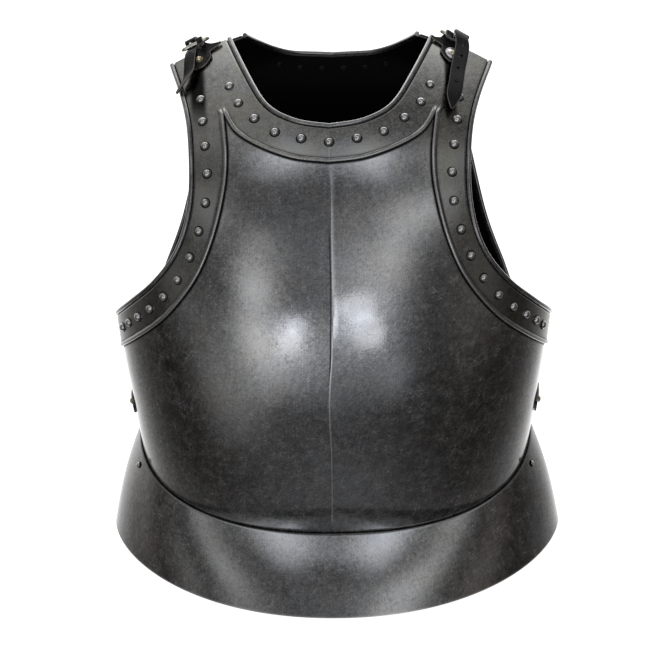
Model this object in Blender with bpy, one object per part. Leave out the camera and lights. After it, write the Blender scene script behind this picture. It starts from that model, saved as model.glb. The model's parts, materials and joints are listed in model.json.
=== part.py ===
"""Steel cuirass: a breastplate and its backplate, each with a studded border and a flared skirt lame.

Leather straps join the two at the shoulders and the sides. Metres, +Z up. The wearer faces -Y, +X is the
wearer's left, and the skirt's rim stands on z = 0.

Each plate is a sheet laid over a loft. A place on a loft is an angle round the body, from 0 at the
middle to 90 degrees at the side, and the height that its section has at the middle of the body.
"""

import math
from collections import namedtuple

import bmesh
import bpy
from mathutils import Vector

Section = namedtuple("Section", "height half_width depth side_drop keel")
Mark = namedtuple("Mark", "angle height")
Corner = namedtuple("Corner", "outer inner")
Station = namedtuple("Station", "point across width")
Rows = namedtuple("Rows", "neck arm side")
Laid = namedtuple("Laid", "angle height lift width")
Hung = namedtuple("Hung", "x y z tilt turn width")
Framed = namedtuple("Framed", "aside ahead up width")
Shoulder = namedtuple(
    "Shoulder",
    "word side pad_angle tongue threaded hanging punched frame centre rise prong_offset washer",
)

# Moves the geometry, laid out about the wearer's side line, to the middle of the bounding box
DEPTH_SHIFT = Vector((0.0, 0.018, 0.0))

# Sheet, trim and clearances
SHEET = 0.0015
TRIM = 0.0012
GAP = 0.0003
EDGE_ROLL = 0.0022
BEAD_WIDTH = 0.0036
BEAD_HEIGHT = 0.0013
KEEL_HALF_WIDTH = 0.045

# Superellipse exponents of the body sections and of the skirt's rim
BODY_POWER = 2.15
RIM_POWER_ACROSS = 2.1
RIM_POWER_DEEP = 1.6

# Skirt lames
RIM_HALF_WIDTH = 0.2205
FRONT_RIM_DEPTH = 0.188
BACK_RIM_DEPTH = 0.152
LAME_BULGE = 0.003
FLANGE_LENGTH = 0.017
LAME_START = 0.0006

# Degrees round a rolled rim, from the sheet's outer face back to its inner face
ROLL_TURNS = (180, 110, 40, -45)

# The backplate tucks inside the breastplate at the sides
BACK_INSET = 0.0070
BACK_TUCK = 0.008

# Rows of cells along each edge of a plate, and steps up a shoulder tab and down a lame
FRONT_ROWS = Rows(neck=10, arm=14, side=4)
BACK_ROWS = Rows(neck=8, arm=11, side=3)
TAB_STEPS = (0.0, 0.12, 0.5, 1.0)
LAME_STEPS = (0.0, 0.5, 1.0)

# Small steps that directions on a loft are worked out from, in degrees and metres
ANGLE_STEP = 0.5
HEIGHT_STEP = 0.0005

# Rivets: radius and height of the dome, and the ring between its foot and its top as shares of the two
BORDER_RIVET = (0.0044, 0.0036)
LAME_RIVET = (0.0026, 0.0018)
BRASS_RIVET = (0.0033, 0.0023)
BACK_RIVET = (0.0042, 0.0030)
DOME_SHOULDER = (0.80, 0.66)
RIVET_SIDES = 7
ROUND_RIVET_SIDES = 10
SMALL_STUD_SIDES = 6
WASHER_RADIUS = 0.0058
WASHER_HEIGHT = 0.0010
WASHER_BEVEL = 0.0002
LAME_RIVET_ANGLE = 75.0
LAME_RIVET_DROP = 0.012

# Leather and buckles; strap tables are in millimetres
MM = 0.001
BASE_LEATHER = 0.0018
STRAP_LEATHER = 0.0022
BUCKLE_WIRE = 0.0015
BUCKLE_CORNER = 0.0045
PRONG_WIRE = 0.0011
PRONG_THICKNESS = 1.6 * PRONG_WIRE
PRONG_CLEARANCE = 0.0004
STRAP_HOLE = 0.0018
PUNCH_LENGTH = 0.010
SHOULDER_RIVET_HEIGHT = 0.4808
BACK_ANCHOR_RIVET_HEIGHT = 0.4665
SHOULDER_FRAME_DIP = 8.0
SIDE_STRAP_HEIGHT = 0.137
SIDE_FRAME = (0.0270, 0.0180)
SIDE_FRAME_ANGLE = 71.5
SIDE_FRAME_HALF_ANGLE = 4.0
SIDE_RIVET_ANGLE = 83.9
FIXING_SHEET = 0.0012

FRONT_SECTIONS = (
    Section(0.040, 0.182, 0.126, 0.000, 0.0000),
    Section(0.060, 0.184, 0.139, 0.000, 0.0000),
    Section(0.095, 0.187, 0.154, 0.000, 0.0010),
    Section(0.140, 0.192, 0.166, 0.000, 0.0014),
    Section(0.190, 0.198, 0.171, 0.000, 0.0015),
    Section(0.235, 0.202, 0.169, 0.000, 0.0015),
    Section(0.285, 0.203, 0.161, 0.000, 0.0015),
    Section(0.335, 0.202, 0.146, 0.001, 0.0015),
    Section(0.375, 0.200, 0.127, 0.003, 0.0012),
    Section(0.405, 0.199, 0.106, 0.006, 0.0006),
    Section(0.430, 0.198, 0.081, 0.010, 0.0000),
    Section(0.450, 0.197, 0.055, 0.014, 0.0000),
    Section(0.468, 0.196, 0.025, 0.016, 0.0000),
    Section(0.484, 0.196, -0.005, 0.018, 0.0000),
    Section(0.500, 0.196, -0.040, 0.019, 0.0000),
)
BACK_SECTIONS = (
    Section(0.040, 0.182, 0.098, 0.000, 0.0000),
    Section(0.060, 0.184, 0.104, 0.000, 0.0000),
    Section(0.095, 0.187, 0.112, 0.000, 0.0000),
    Section(0.140, 0.192, 0.120, 0.000, 0.0000),
    Section(0.190, 0.198, 0.128, 0.000, 0.0000),
    Section(0.235, 0.202, 0.134, 0.000, 0.0000),
    Section(0.285, 0.203, 0.139, 0.000, 0.0000),
    Section(0.335, 0.202, 0.139, 0.001, 0.0000),
    Section(0.375, 0.200, 0.134, 0.003, 0.0000),
    Section(0.405, 0.199, 0.126, 0.006, 0.0000),
    Section(0.430, 0.197, 0.114, 0.010, 0.0000),
    Section(0.450, 0.197, 0.098, 0.014, 0.0000),
    Section(0.468, 0.196, 0.074, 0.016, 0.0000),
    Section(0.484, 0.196, 0.044, 0.018, 0.0000),
    Section(0.500, 0.196, 0.006, 0.019, 0.0000),
)

FRONT_NECK_EDGE = (
    Mark(0.0, 0.424), Mark(7.0, 0.428), Mark(13.5, 0.439), Mark(19.0, 0.461), Mark(25.0, 0.490),
)
FRONT_NECK_BEAD = (
    Mark(0.0, 0.397), Mark(7.5, 0.400), Mark(15.5, 0.409), Mark(22.0, 0.421), Mark(25.5, 0.436),
)
FRONT_ARM_EDGE = (
    Mark(46.0, 0.490), Mark(38.5, 0.447), Mark(35.5, 0.405), Mark(35.5, 0.360), Mark(39.5, 0.323),
    Mark(48.0, 0.292), Mark(60.0, 0.266), Mark(72.5, 0.245), Mark(90.0, 0.220),
)
FRONT_ARM_BEAD = (
    Mark(25.5, 0.436), Mark(24.0, 0.405), Mark(24.5, 0.375), Mark(27.5, 0.336), Mark(33.0, 0.299),
    Mark(43.0, 0.263), Mark(56.0, 0.235), Mark(71.5, 0.210), Mark(90.0, 0.187),
)
BACK_NECK_EDGE = (
    Mark(0.0, 0.443), Mark(9.0, 0.447), Mark(14.5, 0.456), Mark(19.0, 0.470), Mark(22.0, 0.484),
)
BACK_NECK_BEAD = (
    Mark(0.0, 0.409), Mark(9.0, 0.412), Mark(17.0, 0.421), Mark(22.5, 0.432), Mark(26.0, 0.445),
)
BACK_ARM_EDGE = (
    Mark(45.5, 0.484), Mark(40.5, 0.450), Mark(40.0, 0.410), Mark(40.5, 0.375), Mark(43.5, 0.331),
    Mark(48.5, 0.283), Mark(55.5, 0.248), Mark(66.0, 0.214), Mark(90.0, 0.186),
)
BACK_ARM_BEAD = (
    Mark(26.0, 0.4450), Mark(27.0, 0.4150), Mark(28.0, 0.3750), Mark(31.5, 0.3250), Mark(36.5, 0.2750),
    Mark(44.5, 0.2350), Mark(56.5, 0.1940), Mark(70.0, 0.1680), Mark(90.0, 0.1520),
)

# The lines that the border's rivets follow, and how many stand on each
FRONT_NECK_RIVETS = (
    Mark(0.0, 0.411), Mark(12.0, 0.419), Mark(21.5, 0.442), Mark(24.5, 0.456),
)
FRONT_ARM_RIVETS = (
    Mark(33.0, 0.452), Mark(29.5, 0.391), Mark(31.0, 0.348), Mark(37.5, 0.302), Mark(49.0, 0.267),
    Mark(68.0, 0.232),
)
NECK_RIVET_COUNT = 6
ARM_RIVET_COUNT = 13
# How much closer the rivets stand toward the far end of a row: 0 is an even pitch
NECK_CROWDING = 0.0
ARM_CROWDING = 0.14

# Height of the waist seam at the middle, and its rise at the side
FRONT_WAIST = (0.057, 0.046)
BACK_WAIST = (0.080, 0.023)
WAIST_RISE_POWER = 1.15

# Straps that lie on a plate: angle, height in metres, then lift and width in millimetres
SHOULDER_PAD = (
    Laid(0.3, 0.4752, 3.2, 6.0), Laid(0.3, 0.4763, 3.2, 12.5), Laid(0.2, 0.4780, 3.2, 17.5),
    Laid(0.0, 0.4807, 3.2, 20.5), Laid(0.0, 0.4832, 3.2, 19.0), Laid(0.0, 0.4846, 3.2, 18.0),
    Laid(-0.5, 0.4856, 3.2, 20.0), Laid(-1.7, 0.4868, 3.4, 24.0), Laid(-2.3, 0.4882, 3.6, 24.0),
    Laid(-2.0, 0.4888, 3.8, 11.0),
)
BACK_ANCHOR = (
    Laid(35.6, 0.4600, 3.5, 9.0), Laid(35.6, 0.4620, 3.5, 14.0), Laid(35.6, 0.4700, 3.5, 14.0),
    Laid(35.6, 0.4780, 3.6, 13.5), Laid(35.6, 0.4820, 3.8, 13.0),
)
SIDE_STRAP_FRONT = (
    Laid(79.2, 0.137, 1.4, 9.0), Laid(80.4, 0.137, 1.4, 16.0), Laid(82.0, 0.137, 1.4, 18.0),
    Laid(84.5, 0.137, 1.4, 18.0), Laid(87.0, 0.137, 1.5, 18.0), Laid(89.4, 0.137, 2.0, 18.0),
)
SIDE_STRAP_BACK = (
    Laid(85.0, 0.137, 8.4, 18.0), Laid(82.5, 0.137, 7.2, 18.0), Laid(79.6, 0.137, 4.9, 18.0),
    Laid(77.4, 0.137, 2.9, 18.0), Laid(75.4, 0.137, 1.9, 18.0), Laid(73.6, 0.137, 2.3, 18.0),
    Laid(71.4, 0.137, 4.2, 18.0), Laid(69.4, 0.137, 5.5, 18.0), Laid(67.4, 0.137, 5.7, 18.0),
    Laid(63.5, 0.137, 4.6, 18.0), Laid(58.5, 0.137, 3.8, 18.0), Laid(56.6, 0.137, 3.6, 9.0),
)

# Straps round a shoulder buckle, in millimetres from the frame's middle: aside, toward the back, and up
LEFT_TONGUE = (
    Framed(-6.8, -7.6, -2.8, 9.0), Framed(-6.8, -5.0, -1.6, 7.5), Framed(-6.8, -5.0, 1.6, 7.5),
    Framed(-6.8, -8.0, 3.2, 7.5), Framed(-6.8, -10.9, 1.6, 7.5), Framed(-6.4, -14.0, -0.4, 7.5),
    Framed(-6.0, -17.4, -1.4, 7.5),
)
RIGHT_TONGUE = (
    Framed(6.0, -8.6, -4.0, 10.0), Framed(5.9, -5.2, -2.6, 6.6), Framed(5.8, -4.7, 1.2, 5.8),
    Framed(5.8, -8.0, 3.3, 5.8), Framed(5.8, -11.0, 1.4, 5.8), Framed(6.2, -13.4, -1.4, 6.0),
    Framed(6.4, -17.4, -3.0, 6.0),
)
LEFT_THREADED = (
    Framed(5.6, 13.4, -0.8, 13.0), Framed(5.4, 8.4, -3.6, 13.0), Framed(5.3, 4.0, -2.6, 13.0),
    Framed(5.2, 1.2, 1.6, 13.0), Framed(5.2, -1.6, 7.0, 13.0),
)
RIGHT_THREADED = (
    Framed(-3.0, 13.4, -2.2, 12.0), Framed(-3.2, 11.5, 0.6, 11.0), Framed(-3.2, 9.7, 3.2, 11.0),
    Framed(-3.2, 6.0, 4.4, 11.0), Framed(-3.2, 0.4, 5.0, 11.0), Framed(-3.2, -3.4, 3.4, 11.0),
    Framed(-3.2, -4.7, 0.0, 10.5), Framed(-3.8, -6.8, -3.2, 9.6), Framed(-4.2, -10.6, -3.2, 9.4),
)

# Straps in the air, in millimetres and degrees
LEFT_HANGING = (
    Hung(116.4, 17.0, 478.2, 27, 0, 13.0),
    Hung(116.9, 9.0, 475.6, 24, 0, 13.0), Hung(117.2, 2.0, 470.6, 20, 0, 13.0),
    Hung(115.0, -11.0, 463.6, 16, 0, 13.0), Hung(112.0, -26.0, 455.9, 14, 0, 13.0),
    Hung(109.6, -42.0, 448.2, 12, 0, 13.0), Hung(107.0, -56.0, 440.2, 12, 0, 12.5),
    Hung(104.8, -67.0, 431.5, 12, 0, 2.5),
)
RIGHT_HANGING = (
    Hung(-124.9, 4.0, 465.2, -18, 0, 10.0),
    Hung(-125.1, -5.0, 460.6, -14, 0, 10.0), Hung(-124.9, -14.0, 455.0, -20, -14, 10.0),
    Hung(-126.6, -22.0, 449.2, -40, -34, 9.5), Hung(-130.6, -27.5, 443.8, -52, -48, 8.0),
    Hung(-134.6, -31.0, 438.4, -56, -55, 3.0),
)

# The two shoulders: a frame's width and length are in metres and its middle in millimetres, rise tilts its
# across line by degrees, and punched names the hanging rows that have a hole
SHOULDERS = (
    Shoulder(
        word="left", side=1, pad_angle=31.3, tongue=LEFT_TONGUE, threaded=LEFT_THREADED,
        hanging=LEFT_HANGING, punched=(2, 3, 4, 5), frame=(0.0270, 0.0160),
        centre=(110.9, 25.6, 472.3), rise=-31.5, prong_offset=0.0053, washer=WASHER_RADIUS,
    ),
    Shoulder(
        word="right", side=-1, pad_angle=34.1, tongue=RIGHT_TONGUE, threaded=RIGHT_THREADED,
        hanging=RIGHT_HANGING, punched=(0,), frame=(0.0250, 0.0160),
        centre=(-121.6, 24.6, 470.0), rise=25.8, prong_offset=-0.0032, washer=0.0,
    ),
)

STEEL = ("steel", (0.20, 0.20, 0.205), 0.33, 1.0)
BRIGHT_STEEL = ("bright_steel", (0.62, 0.60, 0.54), 0.30, 1.0)
BRASS = ("brass", (0.72, 0.60, 0.34), 0.28, 1.0)
LEATHER = ("black_leather", (0.018, 0.017, 0.018), 0.55, 0.0)


# ---------------------------------------------------------------- scene and materials

def clear_scene():
    """Remove what the file opened with."""
    for item in list(bpy.data.objects):
        bpy.data.objects.remove(item, do_unlink=True)


def finish_named(finish, node):
    """A Principled material of its own for one node."""
    label, colour, roughness, metallic = finish
    material = bpy.data.materials.new(f"{label}_{node}")
    material.use_nodes = True
    shader = material.node_tree.nodes["Principled BSDF"]
    shader.inputs["Base Color"].default_value = (*colour, 1.0)
    shader.inputs["Roughness"].default_value = roughness
    shader.inputs["Metallic"].default_value = metallic
    return material


def add_object(name, points, faces, finish, smooth_angle=40.0):
    """Make an object from points and faces, facing out, shaded smooth up to an angle."""
    mesh = bpy.data.meshes.new(name)
    mesh.from_pydata([tuple(point + DEPTH_SHIFT) for point in points], [], faces)
    work = bmesh.new()
    work.from_mesh(mesh)
    bmesh.ops.recalc_face_normals(work, faces=work.faces)
    work.to_mesh(mesh)
    work.free()
    mesh.shade_smooth()
    mesh.set_sharp_from_angle(angle=math.radians(smooth_angle))
    made = bpy.data.objects.new(name, mesh)
    bpy.context.scene.collection.objects.link(made)
    mesh.materials.append(finish_named(finish, name))
    return made


def combine(target, tool, operation):
    """Cut a hidden tool out of a piece, or join it on."""
    tool.hide_render = True
    tool.display_type = "WIRE"
    modifier = target.modifiers.new(operation.lower(), "BOOLEAN")
    modifier.operation = operation
    modifier.solver = "EXACT"
    modifier.object = tool


# ---------------------------------------------------------------- lofts and outlines

def read_column(rows, column, at):
    """A cubic curve through one column of a table whose first column rises."""
    places = [row[0] for row in rows]
    values = [getattr(row, column) for row in rows]
    at = min(max(at, places[0]), places[-1])
    last = len(rows) - 1
    lower = max(i for i in range(last) if places[i] <= at)
    slopes = []
    for i in (lower, lower + 1):
        before, after = max(i - 1, 0), min(i + 1, last)
        slopes.append((values[after] - values[before]) / (places[after] - places[before]))
    span = places[lower + 1] - places[lower]
    t = (at - places[lower]) / span
    return (
        values[lower] * (2 * t**3 - 3 * t**2 + 1)
        + slopes[0] * span * (t**3 - 2 * t**2 + t)
        + values[lower + 1] * (3 * t**2 - 2 * t**3)
        + slopes[1] * span * (t**3 - t**2)
    )


class Loft:
    """The outer face of one plate, as points and normals by angle and height."""

    def __init__(self, sections, facing, inset, tuck):
        self.sections = sections
        self.facing = facing
        self.inset = inset
        self.tuck = tuck

    def point(self, angle, height, lift=0.0):
        """The point at an angle in degrees and a height, raised off the face by a lift."""
        if lift:
            return self.point(angle, height) + self.normal(angle, height) * lift
        turn = math.radians(abs(angle))
        half_width = read_column(self.sections, "half_width", height) - self.inset
        depth = read_column(self.sections, "depth", height) + self.tuck
        drop = read_column(self.sections, "side_drop", height)
        across = half_width * math.sin(turn) ** (2 / BODY_POWER)
        keel = read_column(self.sections, "keel", height) * max(1 - across / KEEL_HALF_WIDTH, 0.0) ** 2
        deep = depth * max(math.cos(turn), 0.0) ** (2 / BODY_POWER) - self.tuck + keel
        return Vector((
            math.copysign(across, angle),
            self.facing * deep,
            height - drop * (across / 0.1) ** 2,
        ))

    def normal(self, angle, height):
        """The outward normal, from small steps either side that stay on the face."""
        ahead, behind = min(angle + ANGLE_STEP, 90.0), max(angle - ANGLE_STEP, -90.0)
        around = self.point(ahead, height) - self.point(behind, height)
        up = self.point(angle, height + HEIGHT_STEP) - self.point(angle, height - HEIGHT_STEP)
        return around.cross(up).normalized() * -self.facing


def neighbours(items, i):
    """The items before, at and two after a place, with the end ones repeated past the ends."""
    return [items[min(max(i + k, 0), len(items) - 1)] for k in (-1, 0, 1, 2)]


def curve_between(p, q, r, s, t):
    """The Catmull-Rom curve from q to r."""
    return 0.5 * (2 * q + (r - p) * t + (2 * p - 5 * q + 4 * r - s) * t**2 + (3 * q - p - 3 * r + s) * t**3)


def outline_through(loft, marks, steps=14):
    """A smooth line through marks on a loft, as (distance along, angle, height) rows."""
    line = []
    for i in range(len(marks) - 1):
        quad = neighbours(marks, i)
        for step in range(steps):
            t = step / steps
            line.append(tuple(curve_between(*parts, t) for parts in zip(*quad)))
    line.append(tuple(marks[-1]))
    rows = [(0.0, *line[0])]
    for before, after in zip(line, line[1:]):
        rows.append((rows[-1][0] + (loft.point(*after) - loft.point(*before)).length, *after))
    return rows


def along(outline, fraction):
    """The (angle, height) pair at a fraction of an outline's length."""
    target = outline[-1][0] * min(max(fraction, 0.0), 1.0)
    for before, after in zip(outline, outline[1:]):
        if after[0] >= target:
            t = (target - before[0]) / (after[0] - before[0])
            return between(before[1:], after[1:], t)
    return outline[-1][1:]


def rivet_row(loft, marks, count, crowding):
    """The (angle, height) pairs of rivets along the line through marks, crowded toward its far end."""
    line = outline_through(loft, marks)
    shares = [i / (count - 1) for i in range(count)]
    return [along(line, share + crowding * share * (1 - share)) for share in shares]


def between(first, second, t):
    """A pair part of the way from one pair to another."""
    return tuple(p + (q - p) * t for p, q in zip(first, second))


def band_row(loft, edge, bead, places):
    """Pairs across a band: each place is a fraction of the way to the bead, and an offset in metres."""
    width = (loft.point(*bead) - loft.point(*edge)).length
    return [between(edge, bead, fraction + offset / width) for fraction, offset in places]


# ---------------------------------------------------------------- sheets

class Quilt:
    """Blocks of triangles whose corners have an outer and an inner point, shared where blocks meet."""

    def __init__(self):
        self.outer = []
        self.inner = []
        self.index = {}
        self.triangles = []

    def corner(self, corner):
        """The index of a corner, the same for corners in the same place."""
        key = tuple(round(part, 6) for part in corner.outer)
        if key not in self.index:
            self.index[key] = len(self.outer)
            self.outer.append(corner.outer)
            self.inner.append(corner.inner)
        return self.index[key]

    def block(self, rows):
        """Two triangles for each cell between neighbouring rows of corners."""
        grid = [[self.corner(corner) for corner in row] for row in rows]
        for below, above in zip(grid, grid[1:]):
            for i in range(len(below) - 1):
                self.triangles.append((below[i], below[i + 1], above[i + 1]))
                self.triangles.append((below[i], above[i + 1], above[i]))

    def both_sides(self, rows):
        """A block and its mirror image across the middle of the body."""
        self.block(rows)
        self.block([[mirrored(corner) for corner in row] for row in rows])

    def rim(self):
        """The edges that belong to one triangle only."""
        seen = {}
        for triangle in self.triangles:
            for a, b in zip(triangle, triangle[1:] + triangle[:1]):
                seen[frozenset((a, b))] = seen.get(frozenset((a, b)), 0) + 1
        return [tuple(edge) for edge, count in seen.items() if count == 1]

    def sheet(self, rolls=(), radius=0.0):
        """Points and faces of the closed sheet, with a rolled rim along the given corners."""
        count = len(self.outer)
        points = [*self.outer, *self.inner]
        faces = [tuple(triangle) for triangle in self.triangles]
        faces += [tuple(count + i for i in reversed(triangle)) for triangle in self.triangles]
        rim = self.rim()
        rolled = {self.corner(corner) for corner in rolls}
        rolled_edges = [edge for edge in rim if edge[0] in rolled and edge[1] in rolled]
        profiles = self.roll_profiles(rolled_edges, radius, points)
        ends = {}
        for a, b in rim:
            if (a, b) not in rolled_edges:
                faces.append((a, b, count + b, count + a))
                continue
            chain_a = [a, *profiles[a], count + a]
            chain_b = [b, *profiles[b], count + b]
            for k in range(len(chain_a) - 1):
                faces.append((chain_a[k], chain_b[k], chain_b[k + 1], chain_a[k + 1]))
            ends[a] = ends.get(a, 0) + 1
            ends[b] = ends.get(b, 0) + 1
        for i, uses in ends.items():
            if uses == 1:
                faces.append((i, *profiles[i], count + i))
        return points, faces

    def roll_profiles(self, edges, radius, points):
        """New points round the roll at each corner of the rolled edges."""
        centres = {}
        for triangle in self.triangles:
            middle = sum((self.outer[i] for i in triangle), Vector()) / 3
            for i in triangle:
                centres.setdefault(i, []).append(middle)
        ways = {}
        for a, b in edges:
            run = (self.outer[b] - self.outer[a]).normalized()
            for i in (a, b):
                ways.setdefault(i, [])
                ways[i].append(run if not ways[i] or run.dot(ways[i][0]) > 0 else -run)
        profiles = {}
        for i, runs in ways.items():
            run = sum(runs, Vector()).normalized()
            up = (self.outer[i] - self.inner[i]).normalized()
            out = run.cross(up).normalized()
            inward = sum(centres[i], Vector()) / len(centres[i]) - self.outer[i]
            if out.dot(inward) > 0:
                out = -out
            hub = self.inner[i] + up * radius + out * radius
            start = len(points)
            for turn in ROLL_TURNS:
                angle = math.radians(turn)
                points.append(hub + (out * math.cos(angle) + up * math.sin(angle)) * radius)
            profiles[i] = range(start, start + len(ROLL_TURNS))
        return profiles


def mirrored(corner):
    """A corner on the other side of the body."""
    return Corner(*(Vector((-point.x, point.y, point.z)) for point in corner))


# ---------------------------------------------------------------- plates

class Plate:
    """One half of the cuirass: its loft, the four lines that bound its bands, and the rows between them."""

    def __init__(self, loft, lines, waist, rows):
        self.loft = loft
        self.waist = waist
        self.rows = rows
        neck_edge, neck_bead, arm_edge, arm_bead = (outline_through(loft, marks) for marks in lines)
        apex = loft.point(*neck_bead[-1][1:])
        neck_join = self.nearest(neck_edge, apex)
        arm_join = self.nearest(arm_edge, apex)
        self.neck = [
            (along(neck_edge, neck_join * i / rows.neck), along(neck_bead, i / rows.neck))
            for i in range(rows.neck + 1)
        ]
        self.arm = [
            (along(arm_edge, arm_join + (1 - arm_join) * i / rows.arm), along(arm_bead, i / rows.arm))
            for i in range(rows.arm + 1)
        ]
        tab_middle = between(neck_edge[-1][1:], arm_edge[0][1:], 0.5)
        self.tab = [
            (
                along(neck_edge, neck_join + (1 - neck_join) * step),
                between(neck_bead[-1][1:], tab_middle, step),
                along(arm_edge, arm_join * (1 - step)),
            )
            for step in TAB_STEPS
        ]

    def nearest(self, outline, target):
        """The fraction of an outline's length that lies nearest to a point."""
        closest = min(outline, key=lambda row: (self.loft.point(*row[1:]) - target).length)
        return closest[0] / outline[-1][0]

    def waist_height(self, angle):
        """The height of the waist seam at an angle."""
        middle, rise = self.waist
        return middle + rise * (1 - math.cos(math.radians(angle))) ** WAIST_RISE_POWER

    def band_pairs(self, places):
        """Rows of pairs across the neck band, the arm band and the shoulder tab."""
        neck = [band_row(self.loft, edge, bead, places) for edge, bead in self.neck]
        arm = [band_row(self.loft, edge, bead, places) for edge, bead in self.arm]
        tab = [
            band_row(self.loft, neck_side, middle, places)
            + band_row(self.loft, arm_side, middle, places)[-2::-1]
            for neck_side, middle, arm_side in self.tab
        ]
        return neck, arm, tab

    def field_pairs(self):
        """Rows of pairs across the field inside the beads, from the neck down to the waist."""
        top = [bead for _, bead in self.neck]
        side_top, side_foot = self.arm[-1][1], (90.0, self.waist_height(90.0))
        right = [bead for _, bead in self.arm]
        right += [between(side_top, side_foot, i / self.rows.side) for i in range(1, self.rows.side + 1)]
        count = len(right) - 1
        bottom = [(90.0 * i / self.rows.neck, self.waist_height(90.0 * i / self.rows.neck))
                  for i in range(self.rows.neck + 1)]
        rows = []
        for r in range(count + 1):
            v = r / count
            left = between(top[0], bottom[0], v)
            row = []
            for c in range(self.rows.neck + 1):
                u = c / self.rows.neck
                down = between(top[c], bottom[c], v)
                cross = between(left, right[r], u)
                flat = between(between(top[0], top[-1], u), between(bottom[0], bottom[-1], u), v)
                row.append(tuple(d + x - f for d, x, f in zip(down, cross, flat)))
            rows.append(row)
        return rows

    def skirt_frame(self, angle, rim):
        """The seam point, the rim point, the way down between them and the lame's outward normal."""
        seam = self.loft.point(angle, self.waist_height(angle))
        foot = rim(angle)
        down = (foot - seam).normalized()
        step = 1.0
        around = rim(min(angle + step, 90.0)) - rim(max(angle - step, -90.0))
        out = down.cross(around).normalized() * -self.loft.facing
        return seam, foot, down, out


def rim_line(half_width, depth, facing, tuck):
    """A function that gives the skirt's rim at an angle, on z = 0."""
    def rim(angle):
        turn = math.radians(abs(angle))
        across = half_width * math.sin(turn) ** (2 / RIM_POWER_ACROSS)
        deep = (depth + tuck) * max(math.cos(turn), 0.0) ** (2 / RIM_POWER_DEEP) - tuck
        return Vector((math.copysign(across, angle), facing * deep, 0.0))
    return rim


def sheet_corner(loft, pair, low, high):
    """A corner of a sheet that lies between two lifts over a loft."""
    return Corner(loft.point(*pair, high), loft.point(*pair, low))


def make_plate(name, plate, rim, arm_rows):
    """A whole plate: bands, field, rolled neck and arm edges, and the waist flange.

    The roll along the arm edge ends after the given number of rows.
    """
    loft = plate.loft
    quilt = Quilt()
    neck, arm, tab = plate.band_pairs(((0, 2 * EDGE_ROLL), (0.5, 0), (1, 0)))
    field = plate.field_pairs()
    for rows in (neck, arm, tab, field[:-1]):
        quilt.both_sides([[sheet_corner(loft, pair, -SHEET, 0.0) for pair in row] for row in rows])
    above = [sheet_corner(loft, pair, -SHEET, 0.0) for pair in field[-2]]
    crease, flange = [], []
    for angle, height in field[-1]:
        seam, _, down, out = plate.skirt_frame(angle, rim)
        belly = loft.normal(angle, height)
        fold = (belly + out) / (1 + belly.dot(out))
        crease.append(Corner(seam, seam - fold * SHEET))
        end = seam + down * FLANGE_LENGTH
        flange.append(Corner(end, end - out * SHEET))
    quilt.both_sides([above, crease, flange])
    rolls = [row[0] for row in neck + arm[:arm_rows] + tab] + [row[-1] for row in tab]
    rolled = [sheet_corner(loft, pair, -SHEET, 0.0) for pair in rolls]
    points, faces = quilt.sheet(rolled + [mirrored(corner) for corner in rolled], EDGE_ROLL)
    return add_object(name, points, faces, STEEL)


def make_border(name, plate, arm_rows):
    """The raised trim over a plate's bands, with a bead along its inner edge.

    Along the arm edge it ends after the given number of rows.
    """
    loft = plate.loft
    places = ((0, 2 * EDGE_ROLL + 3 * GAP), (0.5, 0), (1, -BEAD_WIDTH), (1, -0.5 * BEAD_WIDTH), (1, 0))
    relief = (0.0, 0.0, 0.0, BEAD_HEIGHT, 0.5 * BEAD_HEIGHT)
    flat = (0.0,) * len(places)
    neck, arm, tab = plate.band_pairs(places)
    quilt = Quilt()

    def lay(rows, reliefs):
        quilt.both_sides([
            [sheet_corner(loft, pair, GAP, GAP + TRIM + rise) for pair, rise in zip(row, reliefs[r])]
            for r, row in enumerate(rows)
        ])

    lay(neck, [relief] * len(neck))
    lay(arm[:arm_rows], [relief] * arm_rows)
    lay(tab, [relief + relief[-2::-1]] + [flat + flat[-2::-1]] * (len(tab) - 1))
    points, faces = quilt.sheet()
    return add_object(name, points, faces, STEEL)


def make_lame(name, plate, rim):
    """A flared skirt lame from just below the waist seam to the rim, lying over the plate's flange."""
    quilt = Quilt()
    rows = []
    for step in LAME_STEPS:
        row = []
        for i in range(-plate.rows.neck, plate.rows.neck + 1):
            angle = 90.0 * i / plate.rows.neck
            seam, foot, down, out = plate.skirt_frame(angle, rim)
            start = seam + down * LAME_START + out * GAP
            level = Vector((out.x, out.y, 0.0)).normalized()
            inner_foot = foot - level * (SHEET / math.hypot(out.x, out.y))
            bulge = out * LAME_BULGE * math.sin(math.pi * step)
            row.append(Corner(
                (start + out * SHEET).lerp(foot, step) + bulge,
                start.lerp(inner_foot, step) + bulge,
            ))
        rows.append(row)
    quilt.block(rows)
    points, faces = quilt.sheet()
    return add_object(name, points, faces, STEEL)


# ---------------------------------------------------------------- rivets, ribbons and wire

def circle(centre, axis, radius, sides):
    """Points round a circle about an axis."""
    across = axis.orthogonal().normalized()
    side = axis.cross(across)
    turns = [2 * math.pi * k / sides for k in range(sides)]
    return [centre + (across * math.cos(turn) + side * math.sin(turn)) * radius for turn in turns]


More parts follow.
